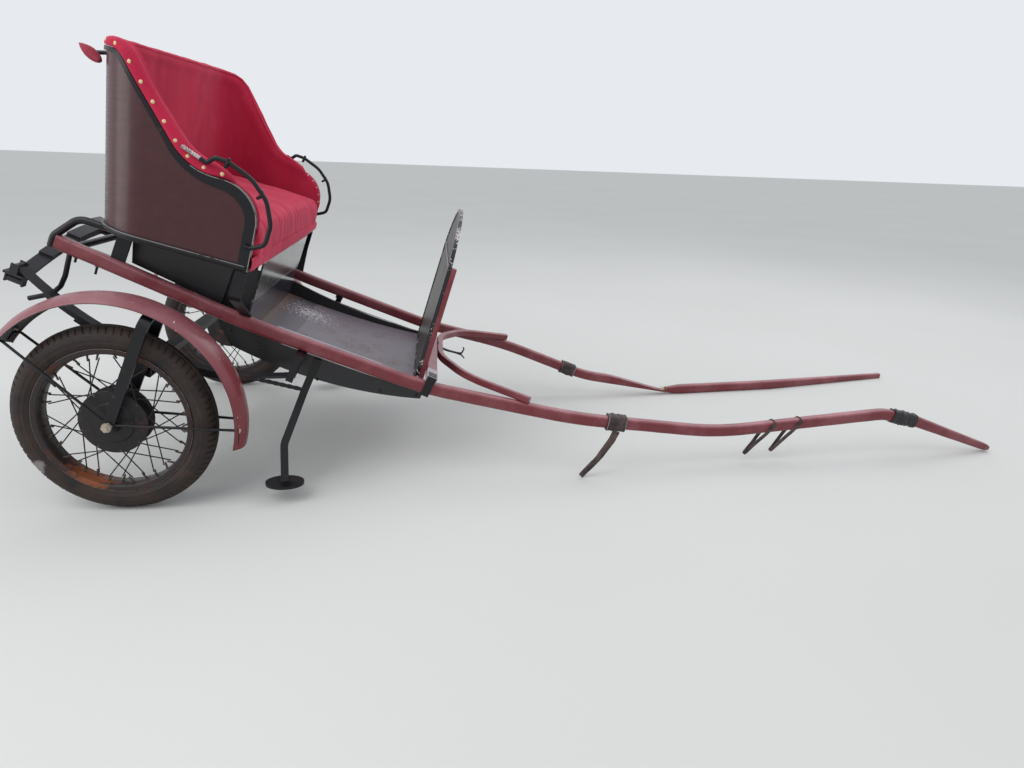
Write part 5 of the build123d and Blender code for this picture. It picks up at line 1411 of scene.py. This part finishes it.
# %% Bolts and nails
heads = []
for side in (RIGHT, LEFT):
    out = (0, side, 0)
    for x, z in ((300, 640), (520, 618), (740, 668), (866, 706), (190, 668)):
        heads.append(dome((x, side * (PANEL_Y - 0.1), z), out, 6.5, 3.4))
    for k in range(13):
        run = 48 * k
        heads.append(dome((250 + run, side * 403.3, 668 + 0.00011 * run ** 2), (0, -side, 0.2), 2.4, 1.6))
for x, tip in ((-316, 694), (-250, 683)):
    for side in (RIGHT, LEFT):
        stem = 715 - tip
        profile = [(-2, 4), (stem, 4), (stem + 0.5, 2.5)]
        heads.append(turned(profile, (x, side * SHAFT_Y, 716), (0.05, 0, -1), 10))
        heads.append(hexagon((x, side * SHAFT_Y, 715.5), (0, 0, -1), 15, 6))
heads = piece("panel_bolts", heads, black_iron)
print(heads.name, len(heads.data.polygons), "faces")

# %% [markdown]
# Two black boards close the gap between the side panels and the seat's front, beside the knees.
# Each is one five-cornered outline in four layers, and the outer layers are trimmed by a
# millimetre to break the edges.

# %% Knee boards
cheeks = []
for side in (RIGHT, LEFT):
    near_rings = []
    for y in (395, 396, 402, 403):
        trim = 1.0 if y in (395, 403) else 0.0
        near_rings.append([(x, side * y, z) for x, z in
                           ((118 + trim, 690), (219 - trim, 662), (217 - trim, 780), (208 - trim, 896 - trim),
                            (118 + trim, 884 - trim))])
    cheeks.append(skin(near_rings))
cheeks = piece("knee_boards", cheeks, black_paint, sharp=30)
print(cheeks.name)

# %% [markdown]
# The trace hook was forged from one bar: a shank out of the splinter bar, one horn bent up and a
# shorter one bent forward. Each is a bar that tapers, and a turned washer lies on the wood.

# %% Trace hook
middle = bar_base + 11
shank = bent([(901, 0, middle, 0), (950, 0, middle - 2, 160), (998, 0, middle + 6, 0)], step=6)
upper = bent([(994, 0, middle + 5, 0), (1014, -3, middle + 12, 10), (1016, -5, middle + 36, 5),
              (1008, -6, middle + 40, 0)], step=3)
lower = bent([(994, 0, middle + 5, 0), (1018, 6, middle + 4, 16), (1036, 10, middle - 6, 0)], step=3)
shank = bar(shank, oval(13, 11, 12), size=lambda t: 1 - 0.2 * t)
horns = [bar(path, oval(10, 9, 10), size=lambda t: 1 - 0.45 * t) for path in (upper, lower)]
washer = turned([(0, 19), (5, 19), (6.2, 15), (6.4, 8)], (902.3, 0, middle), (1, 0, 0), 20)
hook = piece("forged_hook", [shank, *horns, washer], spring_steel)
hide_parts("trace_hook")
print(hook.name, len(hook.data.polygons), "faces")

# %% [markdown]
# The harness fittings are built again with the give of leather. A collar is a sleeve wrapped
# round the shaft and squeezed by its wires. The strap under the near one hangs with a curl.

# %% Collars and strap
def sleeve(path, start, end, thick, lump, seed, count=14):
    """A hollow sleeve round a shaft between two places along it."""
    spots = [at_x(path, start + (end - start) * k / count) for k in range(count + 1)]
    rings = []
    for (iu, iv), (ou, ov) in zip(soft_square(38.8, 46.8, 12.3, 5),
                                  soft_square(38 + 2 * thick, 46 + 2 * thick, 14, 5)):
        outer, inner = [], []
        for k, (spot, way) in enumerate(spots):
            up = way.cross(ACROSS).normalized()
            grow = 1 + lump * (noise.noise(Vector((k * 0.55, iu / 16, iv / 16 + seed))) + 0.35) / 22
            outer.append(spot + ACROSS * ou * grow + up * ov * grow)
            inner.append(spot + ACROSS * iu + up * iv)
        rings.append(outer + inner[::-1])
    return skin(rings, loop=True)


strap_path = bent([(1606, -471, 896, 0), (1605, -475, 850, 160), (1592, -478, 770, 240),
                   (1566, -474, 676, 0)], step=6)
strap = bar(strap_path, soft_square(30, 4, 1.6, 2), side=(1, 0, 0), size=lambda t: 1.0 - 0.32 * t, twist=0.35)
strap = ([p + noise.noise_vector(p / 28) * 1.2 for p in strap[0]], strap[1])
collars = piece("leather_collars", [sleeve(sound_path, 1571, 1645, 6, 2.6, 1.0),
                                    sleeve(stub_path, 1571, 1645, 6, 2.6, 7.0), strap], leather, sharp=60)
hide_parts("tug_stops")
print(collars.name, len(collars.data.polygons), "faces")

# %% [markdown]
# The two loops are single straps laid over the sound shaft and stitched together below. Stiff
# with age, they slant back by 13 degrees on the level gig. Each strap's course is half an outline
# in a plane across the shaft, mirrored, with a thin section carried round it.

# %% Hanging loops
LOOP_LEAN = math.radians(13)
hang_up = Vector((math.sin(LOOP_LEAN), 0, math.cos(LOOP_LEAN)))
hang_out = Vector((math.cos(LOOP_LEAN), 0, -math.sin(LOOP_LEAN)))
loops = []
for x, seed in ((2237, 2.0), (2340, 9.0)):
    centre = at_x(sound_path, x)[0]
    course = [(0, 26.4), (-9, 26.2), (-16, 23.5), (-20.6, 17), (-21, 4), (-20.6, -12), (-18.5, -32),
              (-14.5, -60), (-9.5, -95), (-5, -128), (-2.6, -146), (0, -151)]
    course = course + [(-u, v) for u, v in course[-2:0:-1]]
    rings = []
    for j, (u, v) in enumerate(course):
        before, after = course[j - 1], course[(j + 1) % len(course)]
        run = Vector((after[0] - before[0], after[1] - before[1])).normalized()
        out = Vector((run.y, -run.x))
        if out.dot(Vector((u, v + 40 if v < 0 else v))) < 0:
            out = -out
        sway = Vector((1, 0, 0)) * (3.5 * noise.noise(Vector((u / 40, v / 50, seed))) if v < -30 else 0)
        ring = []
        for a, b in ((-7.5, 0), (-7.5, 2.4), (-6, 3.2), (6, 3.2), (7.5, 2.4), (7.5, 0)):
            ring.append(centre + sway + ACROSS * (u + out.x * b) + hang_up * (v + out.y * b) + hang_out * a)
        rings.append(ring)
    loops.append(skin(rings, loop=True))
    foot = centre + hang_up * -146
    joined = [foot + hang_up * 14, foot + hang_up * 4, foot, foot - hang_up * 8]
    loops.append(bar(joined, soft_square(17, 11, 3, 2), side=tuple(hang_out), size=lambda t: 1 - 0.2 * t))
loops = piece("harness_loops", loops, leather, sharp=50)
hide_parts("shaft_loops")
print(loops.name, len(loops.data.polygons), "faces")

# %% [markdown]
# Near the tip the old split is bound with black cloth tape that has crept into ridges. It is a
# thin sleeve with more lumps than the collars, and its shader has bands about 12 mm apart that
# wander.

# %% Tape
tape, tree, shader, spot = material("old black tape", IOR=1.5)
bands = add(tree, "TexWave", {"Vector": spot, "Scale": 26.0, "Distortion": 5.0, "Detail": 2.0})
tone = add(tree, "Mix", {"Factor": bands.outputs["Fac"], 6: "#0D0C0F", 7: "#322C30"})
rough = add(tree, "MapRange", {"Value": bands.outputs["Fac"], "To Min": 0.25, "To Max": 0.6})
ridges = add(tree, "Bump", {"Height": bands.outputs["Fac"], "Strength": 0.6, "Distance": 0.002})
fill(shader, {"Base Color": tone, "Roughness": rough, "Normal": ridges})
tip_line = sound_path[:-1] + tip_path
wrap = piece("tape_wrap", [sleeve(tip_line, 2736, 2848, 3.4, 4.5, 4.0, 26)], tape, sharp=60)
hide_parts("shaft_wrap")
print(wrap.name, len(wrap.data.polygons), "faces")

# %% [markdown]
# Two round irons rise from the shafts' rear ends, bend forward and run under the seat. They were
# bent hot round formers, so each path has an arc of 30 mm low down and one of 55 mm above it.

# %% Rear hoops
hoops = []
for side, word in SIDES:
    path = bent([(-394, side * SHAFT_Y, 716, 0), (-394, side * SHAFT_Y, 752, 30), (-336, side * 480, 838, 55),
                 (-60, side * 490, 870.6, 0)], step=8)
    tube = piece("seat_hoop_" + word, [bar(path, oval(24, 24, 18))], black_iron)
    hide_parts("rear_hoop_" + word)
    hoops.append(tube)
print([o.name for o in hoops])

# %% [markdown]
# A pale floor and broad soft light without hard shadows, as in the photograph: a dome of even
# light with three large soft lamps gives that.

# %% Floor and light
studio_data = bpy.data.meshes.new("studio_floor")
studio_data.from_pydata([(-60, -60, 0), (60, -60, 0), (60, 60, 0), (-60, 60, 0)], [], [(0, 1, 2, 3)])
studio = bpy.data.objects.new("studio_floor", studio_data)
studio.location.z = -0.0005
bpy.context.scene.collection.objects.link(studio)
pale, tree, shader, spot = material("pale studio floor", Roughness=0.9)
haze = add(tree, "TexNoise", {"Vector": spot, "Scale": 0.6, "Detail": 2.0})
tone = add(tree, "Mix", {"Factor": haze, 6: "#CFCFCC", 7: "#D8D8D6"})
fill(shader, {"Base Color": tone})
studio.data.materials.append(pale)

world = bpy.data.worlds.new("overcast")
bpy.context.scene.world = world
world.use_nodes = True
tree = world.node_tree
background = tree.nodes["Background"]
background.inputs["Color"].default_value = (0.93, 0.96, 1.0, 1)
rays = add(tree, "LightPath")
direct = add(tree, "Math", {0: rays.outputs["Is Camera Ray"],
                            1: rays.outputs["Is Transmission Ray"]}, operation="MAXIMUM")
seen = add(tree, "Math", {0: direct, 1: rays.outputs["Is Glossy Ray"]}, operation="MAXIMUM")
level = add(tree, "MapRange", {"Value": seen, "To Min": 0.78, "To Max": 0.86})
fill(background, {"Strength": level})


def lamp(name, spot, aim, width, power):
    """A square soft lamp that looks at a point."""
    data = bpy.data.lights.new(name, "AREA")
    data.size = width
    data.energy = power
    o = bpy.data.objects.new(name, data)
    o.location = spot
    o.rotation_mode = "QUATERNION"
    o.rotation_quaternion = (Vector(aim) - Vector(spot)).to_track_quat("-Z", "Y")
    bpy.context.scene.collection.objects.link(o)
    return o


lamp("sky_left", (-3.5, -3.0, 5.0), (-0.8, 0, 0.4), 4.0, 125)
lamp("sky_right", (3.0, 2.0, 5.0), (0, 0, 0.3), 4.0, 75)
lamp("sky_rear", (-5.4, -2.2, 1.9), (-1.8, -0.5, 1.0), 2.6, 42)
bpy.context.scene.view_settings.view_transform = "Standard"
